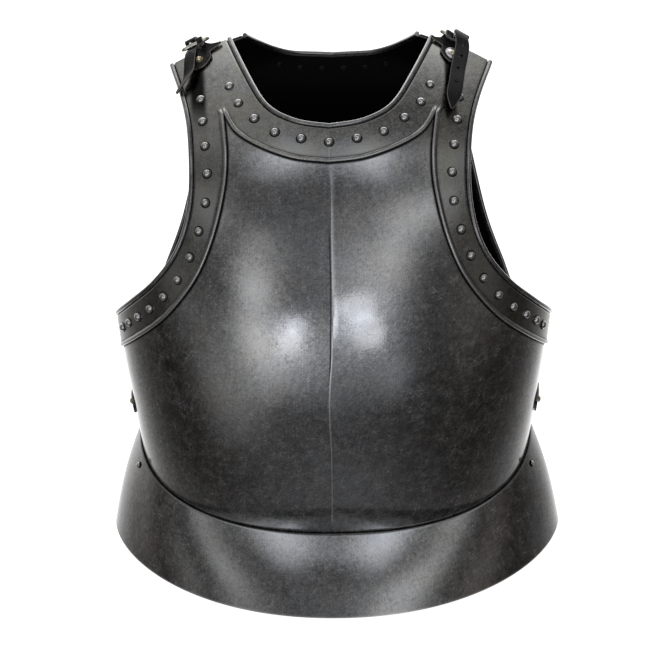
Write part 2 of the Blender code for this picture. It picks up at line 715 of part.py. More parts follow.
def dome(centre, axis, size, sides, flange=0.0):
    """Points and faces of a domed rivet head standing on a point, with a washer under it if asked for."""
    radius, height = size
    up = axis.normalized()
    shoulder = (radius * DOME_SHOULDER[0], height * DOME_SHOULDER[1])
    rings = [(radius, 0.0), shoulder]
    lift = 0.0
    if flange:
        lift = WASHER_HEIGHT
        edge = WASHER_HEIGHT - WASHER_BEVEL
        rings = [(flange, 0.0), (flange, edge), (radius, lift), (shoulder[0], shoulder[1] + lift)]
    points, faces = [], []
    for ring, rise in rings:
        points += circle(centre + up * rise, up, ring, sides)
    for level in range(len(rings) - 1):
        for k in range(sides):
            a, b = level * sides + k, level * sides + (k + 1) % sides
            faces.append((a, b, b + sides, a + sides))
    top = len(points)
    points.append(centre + up * (height + lift))
    last = (len(rings) - 1) * sides
    faces += [(last + k, last + (k + 1) % sides, top) for k in range(sides)]
    faces.append(tuple(reversed(range(sides))))
    return points, faces


def make_rivet(name, centre, axis, size, finish, sides=RIVET_SIDES, flange=0.0):
    """One rivet head as an object."""
    return add_object(name, *dome(centre, axis, size, sides, flange), finish)


def joined(shapes):
    """Several (points, faces) shapes as one."""
    points, faces = [], []
    for more_points, more_faces in shapes:
        start = len(points)
        points += more_points
        faces += [tuple(start + i for i in face) for face in more_faces]
    return points, faces


def smooth_stations(stations, steps):
    """Stations with more in between, on a smooth curve through them."""
    fine = []
    last = len(stations) - 1
    for i in range(last):
        quad = neighbours(stations, i)
        for step in range(steps):
            t = step / steps
            fine.append(Station(*(curve_between(*parts, t) for parts in zip(*quad))))
    fine.append(stations[last])
    return fine


def ribbon(stations, thickness):
    """Points and faces of a flat strap through stations."""
    points, faces = [], []
    last = len(stations) - 1
    for i, station in enumerate(stations):
        run = stations[min(i + 1, last)].point - stations[max(i - 1, 0)].point
        across = station.across.normalized()
        up = across.cross(run).normalized()
        for side, face in ((-1, -1), (1, -1), (1, 1), (-1, 1)):
            corner = across * station.width * 0.5 * side + up * thickness * 0.5 * face
            points.append(station.point + corner)
    for i in range(last):
        for k in range(4):
            a, b = 4 * i + k, 4 * i + (k + 1) % 4
            faces.append((a, b, b + 4, a + 4))
    faces.append((3, 2, 1, 0))
    faces.append(tuple(4 * last + k for k in range(4)))
    return points, faces


def wire_loop(corners, radius, sides):
    """Points and faces of a closed round wire through points in a plane."""
    points, faces = [], []
    count = len(corners)
    middle = sum(corners, Vector()) / count
    flat = (corners[0] - middle).cross(corners[1] - middle).normalized()
    for i, corner in enumerate(corners):
        run = (corners[(i + 1) % count] - corners[i - 1]).normalized()
        out = run.cross(flat).normalized()
        for k in range(sides):
            turn = 2 * math.pi * k / sides
            points.append(corner + (out * math.cos(turn) + flat * math.sin(turn)) * radius)
    for i in range(count):
        for k in range(sides):
            a, b = i * sides + k, i * sides + (k + 1) % sides
            c, d = ((i + 1) % count) * sides + k, ((i + 1) % count) * sides + (k + 1) % sides
            faces.append((a, b, d, c))
    return points, faces


def frame_corners(centre, across, along_way, width, length, corner_radius, steps=2):
    """Points round a rounded rectangle."""
    points = []
    for sign_x, sign_y, start in ((1, 1, 0), (-1, 1, 90), (-1, -1, 180), (1, -1, 270)):
        hub = (
            centre
            + across * sign_x * (width / 2 - corner_radius)
            + along_way * sign_y * (length / 2 - corner_radius)
        )
        for k in range(steps + 1):
            turn = math.radians(start + 90 * k / steps)
            points.append(hub + (across * math.cos(turn) + along_way * math.sin(turn)) * corner_radius)
    return points


# ---------------------------------------------------------------- leather and buckles

def laid(loft, rows, side=1, start_angle=0.0, goes_round=False):
    """Stations of a strap that lies on a plate, up and down it or round it."""
    stations = []
    for row in rows:
        angle, height = side * (start_angle + row.angle), row.height
        if goes_round:
            across = loft.point(angle, height + HEIGHT_STEP) - loft.point(angle, height - HEIGHT_STEP)
        else:
            across = loft.point(angle + ANGLE_STEP, height) - loft.point(angle - ANGLE_STEP, height)
        point = loft.point(angle, height, row.lift * MM)
        stations.append(Station(point, across.normalized(), row.width * MM))
    return stations


def hung(rows):
    """Stations of a strap in the air: each row has a place, the across line's tilt and turn, and a width."""
    stations = []
    for x, y, z, tilt, turn, width in rows:
        slope, swing = math.radians(tilt), math.radians(turn)
        level = Vector((math.cos(swing), math.sin(swing), 0.0)) * math.cos(slope)
        across = level - Vector((0.0, 0.0, math.sin(slope)))
        stations.append(Station(Vector((x, y, z)) * MM, across, width * MM))
    return stations


def framed(centre, across, along_way, rows):
    """Stations of a strap set out from the middle of a buckle frame."""
    up = across.cross(along_way).normalized()
    stations = []
    for row in rows:
        offset = across * row.aside + along_way * row.ahead + up * row.up
        stations.append(Station(centre + offset * MM, across, row.width * MM))
    return stations


def prong_route(centre, across, along_way, length, offset):
    """Stations of a prong from the heel bar to the bar it rests on."""
    up = across.cross(along_way).normalized()
    heel = centre - along_way * length / 2 + across * offset
    tip = centre + along_way * (length / 2 + 0.5 * BUCKLE_WIRE) + across * offset
    return [
        Station(heel, across, 2 * PRONG_WIRE),
        Station(heel.lerp(tip, 0.6) + up * 0.3 * BUCKLE_WIRE, across, 2 * PRONG_WIRE),
        Station(tip + up * (BUCKLE_WIRE + 0.2 * PRONG_WIRE), across, 1.5 * PRONG_WIRE),
    ]


def make_buckle(name, centre, across, along_way, size, prong, fixing=()):
    """A wire frame joined to its prong and, if it has one, the fixing plate behind its heel bar."""
    corners = frame_corners(centre, across, along_way, *size, BUCKLE_CORNER)
    buckle = add_object(name, *wire_loop(corners, BUCKLE_WIRE, 6), BRIGHT_STEEL)
    tongue = ribbon(prong, PRONG_THICKNESS)
    combine(buckle, add_object(f"{name}_prong", *tongue, BRIGHT_STEEL), "UNION")
    if fixing:
        plate = ribbon(fixing, FIXING_SHEET)
        combine(buckle, add_object(f"{name}_fixing", *plate, BRIGHT_STEEL), "UNION")
    return buckle


def clear_prong(strap, prong):
    """Cut the slot that a prong passes through."""
    wide = [Station(point, across, width + 2 * PRONG_CLEARANCE) for point, across, width in prong]
    wide[0] = wide[0]._replace(point=wide[0].point.lerp(wide[1].point, -0.1))
    wide[-1] = wide[-1]._replace(point=wide[-1].point.lerp(wide[-2].point, -0.15))
    cutter = ribbon(wide, PRONG_THICKNESS + 2 * PRONG_CLEARANCE)
    combine(strap, add_object(f"{strap.name}_slot", *cutter, LEATHER), "DIFFERENCE")


def punch(strap, stations):
    """Punch a row of round holes through a strap, one at each station."""
    cutters = []
    for before, here, after in stations:
        through = here.across.cross(after.point - before.point)
        cutters.append(cylinder(here.point, through, STRAP_HOLE, PUNCH_LENGTH))
    combine(strap, add_object(f"{strap.name}_holes", *joined(cutters), LEATHER), "DIFFERENCE")


def cylinder(centre, axis, radius, length, sides=8):
    """Points and faces of a plain cylinder about its middle."""
    up = axis.normalized()
    points, faces = [], []
    for end in (-0.5, 0.5):
        points += circle(centre + up * length * end, up, radius, sides)
    for k in range(sides):
        faces.append((k, (k + 1) % sides, sides + (k + 1) % sides, sides + k))
    faces.append(tuple(reversed(range(sides))))
    faces.append(tuple(range(sides, 2 * sides)))
    return points, faces


def make_shoulder(shoulder, front, back):
    """One shoulder: pad, rivet, buckle, strap and the rivet that holds the strap to the backplate."""
    side, word = shoulder.side, shoulder.word
    slope, dip = math.radians(shoulder.rise), math.radians(SHOULDER_FRAME_DIP)
    across = Vector((math.cos(slope), 0.0, math.sin(slope)))
    back_way = Vector((0.0, math.cos(dip), -math.sin(dip)))
    back_way = (back_way - back_way.project(across)).normalized()
    centre = Vector(shoulder.centre) * MM

    pad = laid(front, SHOULDER_PAD, side, shoulder.pad_angle)
    pad += framed(centre, across, back_way, shoulder.tongue)
    make_strap(f"shoulder_base_{word}", pad, BASE_LEATHER, 1)
    rivet_lift = 3 * GAP + TRIM + BASE_LEATHER + 2 * GAP
    spot = front.point(side * (shoulder.pad_angle + 0.2), SHOULDER_RIVET_HEIGHT, rivet_lift)
    axis = front.normal(side * shoulder.pad_angle, SHOULDER_RIVET_HEIGHT)
    make_rivet(f"shoulder_rivet_{word}", spot, axis, BRASS_RIVET, BRASS, ROUND_RIVET_SIDES, shoulder.washer)

    prong = prong_route(centre, across, back_way, shoulder.frame[1], shoulder.prong_offset)
    make_buckle(f"shoulder_buckle_{word}", centre, across, back_way, shoulder.frame, prong)
    stations = laid(back, BACK_ANCHOR, side) + framed(centre, across, back_way, shoulder.threaded)
    first = len(stations)
    stations += hung(shoulder.hanging)
    strap = make_strap(f"shoulder_strap_{word}", stations, STRAP_LEATHER, 2)
    clear_prong(strap, prong)
    punch(strap, [stations[first + row - 1:first + row + 2] for row in shoulder.punched])
    anchor_angle = side * BACK_ANCHOR[2].angle
    anchor_lift = 3 * GAP + TRIM + STRAP_LEATHER + 2 * GAP
    anchor = back.point(anchor_angle, BACK_ANCHOR_RIVET_HEIGHT, anchor_lift)
    axis = back.normal(anchor_angle, BACK_ANCHOR_RIVET_HEIGHT)
    make_rivet(f"shoulder_back_rivet_{word}", anchor, axis, BRASS_RIVET, BRASS, ROUND_RIVET_SIDES)


def make_strap(name, stations, thickness, steps):
    """A leather strap through stations."""
    return add_object(name, *ribbon(smooth_stations(stations, steps), thickness), LEATHER, 50.0)


def make_side(side, front, back):
    """One side: the strap riveted to the breastplate and buckled to the backplate."""
    word = "left" if side > 0 else "right"
    stations = laid(front, SIDE_STRAP_FRONT, side, goes_round=True)
    stations += laid(back, SIDE_STRAP_BACK, side, goes_round=True)
    strap = make_strap(f"side_strap_{word}", stations, STRAP_LEATHER, 1)
    rivet_angle = side * SIDE_RIVET_ANGLE
    spot = front.point(rivet_angle, SIDE_STRAP_HEIGHT, GAP + STRAP_LEATHER + 2 * GAP)
    axis = front.normal(rivet_angle, SIDE_STRAP_HEIGHT)
    make_rivet(f"side_rivet_{word}", spot, axis, BRASS_RIVET, BRASS, ROUND_RIVET_SIDES)
    heel_angle = SIDE_FRAME_ANGLE - SIDE_FRAME_HALF_ANGLE
    bar_angle = SIDE_FRAME_ANGLE + SIDE_FRAME_HALF_ANGLE
    heel = back.point(side * heel_angle, SIDE_STRAP_HEIGHT, 0.0021)
    bar = back.point(side * bar_angle, SIDE_STRAP_HEIGHT, 0.0052)
    forward = (bar - heel).normalized()
    middle = side * SIDE_FRAME_ANGLE
    lower, upper = (back.point(middle, SIDE_STRAP_HEIGHT + step) for step in (-HEIGHT_STEP, HEIGHT_STEP))
    across = (upper - lower).normalized() * side
    size = (SIDE_FRAME[0], (bar - heel).length)
    prong = prong_route(heel.lerp(bar, 0.5), across, forward, size[1], 0.0)
    fixing = [
        Station(back.point(side * angle, SIDE_STRAP_HEIGHT, lift), across, 0.7 * SIDE_FRAME[0])
        for angle, lift in ((heel_angle, 0.0021), (heel_angle - 2, 0.0014), (heel_angle - 7, 0.0014))
    ]
    make_buckle(f"side_buckle_{word}", heel.lerp(bar, 0.5), across, forward, size, prong, fixing)
    clear_prong(strap, prong)


# ---------------------------------------------------------------- the cuirass

def build():
    """Build every piece of the cuirass."""
    clear_scene()
    front_loft = Loft(FRONT_SECTIONS, -1, 0.0, 0.0)
    back_loft = Loft(BACK_SECTIONS, 1, BACK_INSET, BACK_TUCK)
    front_lines = (FRONT_NECK_EDGE, FRONT_NECK_BEAD, FRONT_ARM_EDGE, FRONT_ARM_BEAD)
    back_lines = (BACK_NECK_EDGE, BACK_NECK_BEAD, BACK_ARM_EDGE, BACK_ARM_BEAD)
    front = Plate(front_loft, front_lines, FRONT_WAIST, FRONT_ROWS)
    back = Plate(back_loft, back_lines, BACK_WAIST, BACK_ROWS)
    front_rim = rim_line(RIM_HALF_WIDTH, FRONT_RIM_DEPTH, -1, 0.0)
    back_rim = rim_line(RIM_HALF_WIDTH - BACK_INSET, BACK_RIM_DEPTH, 1, BACK_TUCK)

    make_plate("breastplate", front, front_rim, FRONT_ROWS.arm + 1)
    make_border("front_border", front, FRONT_ROWS.arm + 1)
    make_plate("backplate", back, back_rim, BACK_ROWS.arm)
    back_border = make_border("back_border", back, BACK_ROWS.arm)
    for name, plate, rim in (("front_fauld", front, front_rim), ("back_fauld", back, back_rim)):
        lame = make_lame(name, plate, rim)
        studs = []
        for angle in (-LAME_RIVET_ANGLE, LAME_RIVET_ANGLE):
            seam, _, down, out = plate.skirt_frame(angle, rim)
            foot = seam + down * LAME_RIVET_DROP + out * (GAP + 0.5 * SHEET)
            size = (LAME_RIVET[0], LAME_RIVET[1] + 0.5 * SHEET + LAME_BULGE / 2)
            studs.append(dome(foot, out, size, SMALL_STUD_SIDES))
        combine(lame, add_object(f"{name}_studs", *joined(studs), STEEL), "UNION")

    rivet_lift = GAP + TRIM + GAP
    neck_row = rivet_row(front_loft, FRONT_NECK_RIVETS, NECK_RIVET_COUNT, NECK_CROWDING)
    for i, (angle, height) in enumerate(neck_row):
        for side, word in ((1, "left"), (-1, "right")) if i else ((1, "middle"),):
            make_rivet(
                f"neck_rivet_{word}_{i}" if i else "neck_rivet_middle",
                front_loft.point(side * angle, height, rivet_lift),
                front_loft.normal(side * angle, height), BORDER_RIVET, STEEL,
            )
    arm_row = rivet_row(front_loft, FRONT_ARM_RIVETS, ARM_RIVET_COUNT, ARM_CROWDING)
    for i, (angle, height) in enumerate(arm_row, 1):
        for side, word in ((1, "left"), (-1, "right")):
            make_rivet(
                f"arm_rivet_{word}_{i}",
                front_loft.point(side * angle, height, rivet_lift),
                front_loft.normal(side * angle, height), BORDER_RIVET, STEEL,
            )

    studs = []
    for edge, bead in back.neck[1:-2:2] + back.arm[1:-2]:
        angle, height = between(edge, bead, 0.5)
        size = (BACK_RIVET[0], BACK_RIVET[1] + 0.5 * TRIM)
        for side in (1, -1):
            centre = back_loft.point(side * angle, height, GAP + 0.5 * TRIM)
            studs.append(dome(centre, back_loft.normal(side * angle, height), size, SMALL_STUD_SIDES))
    combine(back_border, add_object("back_studs", *joined(studs), STEEL), "UNION")

    for shoulder in SHOULDERS:
        make_shoulder(shoulder, front_loft, back_loft)
    for side in (1, -1):
        make_side(side, front_loft, back_loft)


build()
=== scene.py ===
"""The visual model of a steel cuirass: breastplate, backplate, studded borders, skirt lames and straps.

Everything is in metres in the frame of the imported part. The wearer faces -Y, +X is the wearer's left
and the rim of the skirt stands on z = 0. A place on a plate is an angle round the body, from 0 at the
middle to 90 degrees at the side, and the height that the plate's section has at the middle of the body.
"""

import json
import logging
import math
from dataclasses import dataclass, field
from enum import Enum
from typing import Iterable, NamedTuple, Sequence

import bmesh
import bpy
import numpy as np
from mathutils import Matrix, Vector
from mathutils.kdtree import KDTree

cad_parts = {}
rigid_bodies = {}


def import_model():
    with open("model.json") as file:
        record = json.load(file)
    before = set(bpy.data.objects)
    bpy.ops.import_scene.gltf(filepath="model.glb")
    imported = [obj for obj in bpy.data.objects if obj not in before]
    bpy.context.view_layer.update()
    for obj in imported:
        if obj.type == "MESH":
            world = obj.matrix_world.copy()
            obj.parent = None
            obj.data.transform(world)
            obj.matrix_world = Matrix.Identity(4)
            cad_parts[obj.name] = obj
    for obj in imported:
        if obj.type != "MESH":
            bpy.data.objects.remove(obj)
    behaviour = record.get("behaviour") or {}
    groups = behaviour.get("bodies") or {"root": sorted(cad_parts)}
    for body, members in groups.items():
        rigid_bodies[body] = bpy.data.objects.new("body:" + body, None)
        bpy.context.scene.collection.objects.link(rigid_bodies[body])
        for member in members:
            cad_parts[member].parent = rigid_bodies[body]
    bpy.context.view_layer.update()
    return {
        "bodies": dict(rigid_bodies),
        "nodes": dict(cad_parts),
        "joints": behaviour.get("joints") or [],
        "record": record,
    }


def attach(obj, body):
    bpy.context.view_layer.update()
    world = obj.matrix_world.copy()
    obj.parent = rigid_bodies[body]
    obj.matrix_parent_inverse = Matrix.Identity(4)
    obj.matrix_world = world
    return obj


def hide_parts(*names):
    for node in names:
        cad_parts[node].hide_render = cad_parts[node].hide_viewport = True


LOG = logging.getLogger("cuirass")
Array = np.ndarray
Pair = tuple[float, float]

MM = 0.001

# Moves what is laid out about the wearer's side line to the middle of the bounding box
DEPTH_SHIFT = 0.018

# Superellipse exponents of the body sections and of the skirt's rim
BODY_POWER = 2.15
RIM_POWER_ACROSS = 2.1
RIM_POWER_DEEP = 1.6

# Small steps that directions on a face are worked out from, in degrees and metres
ANGLE_STEP = 0.5
HEIGHT_STEP = 0.0005

# The hammered unevenness: how many waves it is made of, and how short and long they are
WAVE_COUNT = 18
WAVE_LENGTHS = (0.045, 0.13)

# Distances of a plate's first columns from the rib, in millimetres, and of rows from a bead, as shares
RIB_COLUMNS = (0, 0.35, 0.7, 1.05, 1.4, 1.75, 2.1, 2.5, 2.9, 3.5, 4.5, 6.5)
BEAD_STEPS = (0.0012, 0.0028, 0.0055, 0.010)

# Steps up a shoulder tab, as shares of its length
TAB_STEPS = (0, 0.015, 0.035, 0.06, 0.09, 0.13, 0.18, 0.25, 0.33, 0.42, 0.52, 0.63, 0.75, 0.88, 1.0)

# How much darker the rivets' tails are, for want of light inside
TAIL_SHADE = 0.93


class Side(Enum):
    """A side of the wearer, whose value is the sign of x."""

    LEFT = 1
    RIGHT = -1

    @property
    def word(self) -> str:
        """The side's name as the parts list spells it."""
        return self.name.lower()


class Slot(Enum):
    """The record's material slots."""

    PLATE = "plate_steel"
    BORDER = "border_steel"
    RIVET = "rivet_steel"
    BUCKLE = "buckle_steel"
    BRASS = "brass"
    LEATHER = "black_leather"


class Section(NamedTuple):
    """One level section of a plate."""

    height: float
    half_width: float
    depth: float
    side_drop: float
    keel: float


class Mark(NamedTuple):
    """A place on a plate."""

    angle: float
    height: float


class Laid(NamedTuple):
    """A station of a strap lying on a plate; lift and width are in millimetres."""

    angle: float
    height: float
    lift: float
    width: float


class Hung(NamedTuple):
    """A station of a strap in the air, in millimetres and degrees."""

    x: float
    y: float
    z: float
    tilt: float
    turn: float
    width: float


class Framed(NamedTuple):
    """A station of a strap set out from a buckle's middle, in millimetres."""

    aside: float
    ahead: float
    up: float
    width: float


class Station(NamedTuple):
    """A cross line of a strap."""

    point: Array
    across: Array
    width: float


class Stroke(NamedTuple):
    """One direction of the steel's fine scouring: its turn in degrees, its length and its fineness."""

    turn: tuple[float, float, float]
    length: float
    fineness: float


class Ring(NamedTuple):
    """A ring of a rivet head: shares of the dome's radius and height, how a dent lowers it, and the shade
    painted on it, darkest at the head's foot.
    """

    spread: float
    rise: float
    dent: float
    darkening: float


class Across(NamedTuple):
    """A place across the border: share of the band, metres added, lift in millimetres, painted shade and
    painted highlight.
    """

    share: float
    offset: float
    lift: float
    groove_shade: float
    shine: float


# ---------------------------------------------------------------- tables

FRONT_SECTIONS = (
    Section(0.040, 0.182, 0.126, 0.000, 0.0000),
    Section(0.060, 0.184, 0.139, 0.000, 0.0000),
    Section(0.095, 0.187, 0.154, 0.000, 0.0010),
    Section(0.140, 0.192, 0.166, 0.000, 0.0014),
    Section(0.190, 0.198, 0.171, 0.000, 0.0015),
    Section(0.235, 0.202, 0.169, 0.000, 0.0015),
    Section(0.285, 0.203, 0.161, 0.000, 0.0015),
    Section(0.335, 0.202, 0.146, 0.001, 0.0015),
    Section(0.375, 0.200, 0.127, 0.003, 0.0012),
    Section(0.405, 0.199, 0.106, 0.006, 0.0006),
    Section(0.430, 0.198, 0.081, 0.010, 0.0000),
    Section(0.450, 0.197, 0.055, 0.014, 0.0000),
    Section(0.468, 0.196, 0.025, 0.016, 0.0000),
    Section(0.484, 0.196, -0.005, 0.018, 0.0000),
    Section(0.500, 0.196, -0.040, 0.019, 0.0000),
)
BACK_SECTIONS = (
    Section(0.040, 0.182, 0.098, 0.000, 0.0000),
    Section(0.060, 0.184, 0.104, 0.000, 0.0000),
    Section(0.095, 0.187, 0.112, 0.000, 0.0000),
    Section(0.140, 0.192, 0.120, 0.000, 0.0000),
    Section(0.190, 0.198, 0.128, 0.000, 0.0000),
    Section(0.235, 0.202, 0.134, 0.000, 0.0000),
    Section(0.285, 0.203, 0.139, 0.000, 0.0000),
    Section(0.335, 0.202, 0.139, 0.001, 0.0000),
    Section(0.375, 0.200, 0.134, 0.003, 0.0000),
    Section(0.405, 0.199, 0.126, 0.006, 0.0000),
    Section(0.430, 0.197, 0.114, 0.010, 0.0000),
    Section(0.450, 0.197, 0.098, 0.014, 0.0000),
    Section(0.468, 0.196, 0.074, 0.016, 0.0000),
    Section(0.484, 0.196, 0.044, 0.018, 0.0000),
    Section(0.500, 0.196, 0.006, 0.019, 0.0000),
)
RIB_LINE = (
    (0.06, -1.0), (0.15, 0.0), (0.20, -1.0), (0.25, 2.0), (0.35, 2.0), (0.41, 0.5),
)
FRONT_NECK_EDGE = (
    Mark(0.0, 0.424), Mark(7.0, 0.428), Mark(13.5, 0.439), Mark(19.0, 0.461), Mark(25.0, 0.490),
)
FRONT_NECK_BEAD = (
    Mark(0.0, 0.397), Mark(7.5, 0.400), Mark(15.5, 0.409), Mark(22.0, 0.421), Mark(25.5, 0.436),
)
FRONT_ARM_EDGE = (
    Mark(46.0, 0.490), Mark(38.5, 0.447), Mark(35.5, 0.405), Mark(35.5, 0.360), Mark(39.5, 0.323),
    Mark(48.0, 0.292), Mark(60.0, 0.266), Mark(72.5, 0.245), Mark(90.0, 0.220),
)
FRONT_ARM_BEAD = (
    Mark(25.5, 0.436), Mark(24.0, 0.405), Mark(24.5, 0.375), Mark(27.5, 0.336), Mark(33.0, 0.299),
    Mark(43.0, 0.263), Mark(56.0, 0.235), Mark(71.5, 0.210), Mark(90.0, 0.187),
)
BACK_NECK_EDGE = (
    Mark(0.0, 0.443), Mark(9.0, 0.447), Mark(14.5, 0.456), Mark(19.0, 0.470), Mark(22.0, 0.484),
)
BACK_NECK_BEAD = (
    Mark(0.0, 0.409), Mark(9.0, 0.412), Mark(17.0, 0.421), Mark(22.5, 0.432), Mark(26.0, 0.445),
)
BACK_ARM_EDGE = (
    Mark(45.5, 0.484), Mark(40.5, 0.450), Mark(40.0, 0.410), Mark(40.5, 0.375), Mark(43.5, 0.331),
    Mark(48.5, 0.283), Mark(55.5, 0.248), Mark(66.0, 0.214), Mark(90.0, 0.186),
)
BACK_ARM_BEAD = (
    Mark(26.0, 0.4450), Mark(27.0, 0.4150), Mark(28.0, 0.3750), Mark(31.5, 0.3250), Mark(36.5, 0.2750),
    Mark(44.5, 0.2350), Mark(56.5, 0.1940), Mark(70.0, 0.1680), Mark(90.0, 0.1520),
)
FRONT_NECK_RIVETS = (
    Mark(0.0, 0.411), Mark(12.0, 0.419), Mark(21.5, 0.442), Mark(24.5, 0.456),
)
FRONT_ARM_RIVETS = (
    Mark(33.0, 0.452), Mark(29.5, 0.391), Mark(31.0, 0.348), Mark(37.5, 0.302), Mark(49.0, 0.267),
    Mark(68.0, 0.232),
)
SHOULDER_PAD = (
    Laid(0.3, 0.4752, 3.2, 6.0), Laid(0.3, 0.4763, 3.2, 12.5), Laid(0.2, 0.4780, 3.2, 17.5),
    Laid(0.0, 0.4807, 3.2, 20.5), Laid(0.0, 0.4832, 3.2, 19.0), Laid(0.0, 0.4846, 3.2, 18.0),
    Laid(-0.5, 0.4856, 3.2, 20.0), Laid(-1.7, 0.4868, 3.4, 24.0), Laid(-2.3, 0.4882, 3.6, 24.0),
    Laid(-2.0, 0.4888, 3.8, 11.0),
)
BACK_ANCHOR = (
    Laid(35.6, 0.4600, 3.5, 9.0), Laid(35.6, 0.4620, 3.5, 14.0), Laid(35.6, 0.4700, 3.5, 14.0),
    Laid(35.6, 0.4780, 3.6, 13.5), Laid(35.6, 0.4820, 3.8, 13.0),
)
SIDE_STRAP_FRONT = (
    Laid(79.2, 0.137, 1.4, 9.0), Laid(80.4, 0.137, 1.4, 16.0), Laid(82.0, 0.137, 1.4, 18.0),
    Laid(84.5, 0.137, 1.4, 18.0), Laid(87.0, 0.137, 1.5, 18.0), Laid(89.4, 0.137, 2.0, 18.0),
)
SIDE_STRAP_BACK = (
    Laid(85.0, 0.137, 8.4, 18.0), Laid(82.5, 0.137, 7.2, 18.0), Laid(79.6, 0.137, 4.9, 18.0),
    Laid(77.4, 0.137, 2.9, 18.0), Laid(75.4, 0.137, 1.9, 18.0), Laid(73.6, 0.137, 2.3, 18.0),
    Laid(71.4, 0.137, 4.2, 18.0), Laid(69.4, 0.137, 5.5, 18.0), Laid(67.4, 0.137, 5.7, 18.0),
    Laid(63.5, 0.137, 4.6, 18.0), Laid(58.5, 0.137, 3.8, 18.0), Laid(56.6, 0.137, 3.6, 9.0),
)
LEFT_TONGUE = (
    Framed(-6.8, -7.6, -2.8, 9.0), Framed(-6.8, -5.0, -1.6, 7.5), Framed(-6.8, -5.0, 1.6, 7.5),
    Framed(-6.8, -8.0, 3.2, 7.5), Framed(-6.8, -10.9, 1.6, 7.5), Framed(-6.4, -14.0, -0.4, 7.5),
    Framed(-6.0, -17.4, -1.4, 7.5),
)
RIGHT_TONGUE = (
    Framed(6.0, -8.6, -4.0, 10.0), Framed(5.9, -5.2, -2.6, 6.6), Framed(5.8, -4.7, 1.2, 5.8),
    Framed(5.8, -8.0, 3.3, 5.8), Framed(5.8, -11.0, 1.4, 5.8), Framed(6.2, -13.4, -1.4, 6.0),
    Framed(6.4, -17.4, -3.0, 6.0),
)
LEFT_THREADED = (
    Framed(5.6, 13.4, -0.8, 13.0), Framed(5.4, 8.4, -3.6, 13.0), Framed(5.3, 4.0, -2.6, 13.0),
    Framed(5.2, 1.2, 1.6, 13.0), Framed(5.2, -1.6, 7.0, 13.0),
)
RIGHT_THREADED = (
    Framed(-3.0, 13.4, -2.2, 12.0), Framed(-3.2, 11.5, 0.6, 11.0), Framed(-3.2, 9.7, 3.2, 11.0),
    Framed(-3.2, 6.0, 4.4, 11.0), Framed(-3.2, 0.4, 5.0, 11.0), Framed(-3.2, -3.4, 3.4, 11.0),
    Framed(-3.2, -4.7, 0.0, 10.5), Framed(-3.8, -6.8, -3.2, 9.6), Framed(-4.2, -10.6, -3.2, 9.4),
)
LEFT_HANGING = (
    Hung(116.4, 17.0, 478.2, 27, 0, 13.0), Hung(116.9, 9.0, 475.6, 24, 0, 13.0),
    Hung(117.2, 2.0, 470.6, 20, 0, 13.0), Hung(115.0, -11.0, 463.6, 16, 0, 13.0),
    Hung(112.0, -26.0, 455.9, 14, 0, 13.0), Hung(109.6, -42.0, 448.2, 12, 0, 13.0),
    Hung(107.0, -56.0, 440.2, 12, 0, 12.5), Hung(104.8, -67.0, 431.5, 12, 0, 2.5),
)
RIGHT_HANGING = (
    Hung(-124.9, 4.0, 465.2, -18, 0, 10.0), Hung(-125.1, -5.0, 460.6, -14, 0, 10.0),
    Hung(-124.9, -14.0, 455.0, -20, -14, 10.0), Hung(-126.6, -22.0, 449.2, -40, -34, 9.5),
    Hung(-130.6, -27.5, 443.8, -52, -48, 8.0), Hung(-134.6, -31.0, 438.4, -56, -55, 3.0),
)


HATCHING = (
    Stroke((0, 4, 14), 7.0, 950.0), Stroke((0, 82, 24), 6.0, 950.0), Stroke((0, 38, -22), 7.0, 1000.0),
    Stroke((0, -47, 18), 6.0, 1000.0),
)
# The lowest rings are painted dark: shade round each rivet head's foot, as a dark outline.
DOME = (
    Ring(1.24, -0.02, 0.0, 1.0), Ring(1.23, 0.03, 0.0, 1.0), Ring(1.05, 0.05, 0.0, 1.0),
    Ring(1.0, 0.12, 0.0, 0.8), Ring(0.98, 0.26, 0.0, 0.3), Ring(0.92, 0.44, 0.0, 0.0),
    Ring(0.81, 0.62, 0.0, 0.0), Ring(0.66, 0.78, 0.0, 0.0), Ring(0.47, 0.90, 0.1, 0.0),
    Ring(0.27, 0.97, 0.3, 0.0), Ring(0.09, 1.0, 0.5, 0.0),
)


# ---------------------------------------------------------------- vectors and curves

def unit(vectors: Array) -> Array:
    """Vectors of length one along the last axis."""
    vectors = np.asarray(vectors, float)
    return vectors / np.maximum(np.linalg.norm(vectors, axis=-1, keepdims=True), 1e-12)


def smooth(low: float, high: float, value: Array) -> Array:
    """A smooth step from 0 at low to 1 at high."""
    t = np.clip((np.asarray(value, float) - low) / (high - low), 0.0, 1.0)
    return t * t * (3.0 - 2.0 * t)


def catmull(rows: Array, steps: int) -> Array:
    """A smooth curve through rows of numbers.

    Args:
        rows: One row of numbers for each knot.
        steps: How many steps from one knot to the next.

    Returns:
        The denser rows, with the knots among them.
    """
    rows = np.asarray(rows, float)
    last = len(rows) - 1
    fine = []
    for i in range(last):
        p, q, r, s = (rows[min(max(i + k, 0), last)] for k in (-1, 0, 1, 2))
        for t in np.arange(steps) / steps:
            fine.append(0.5 * (
                2 * q + (r - p) * t + (2 * p - 5 * q + 4 * r - s) * t**2 + (3 * q - p - 3 * r + s) * t**3
            ))
    fine.append(rows[-1])
    return np.array(fine)


def path_rows(points: Array) -> Array:
    """The distance along a path at each of its points."""
    return np.concatenate([[0.0], np.cumsum(np.linalg.norm(np.diff(points, axis=0), axis=1))])


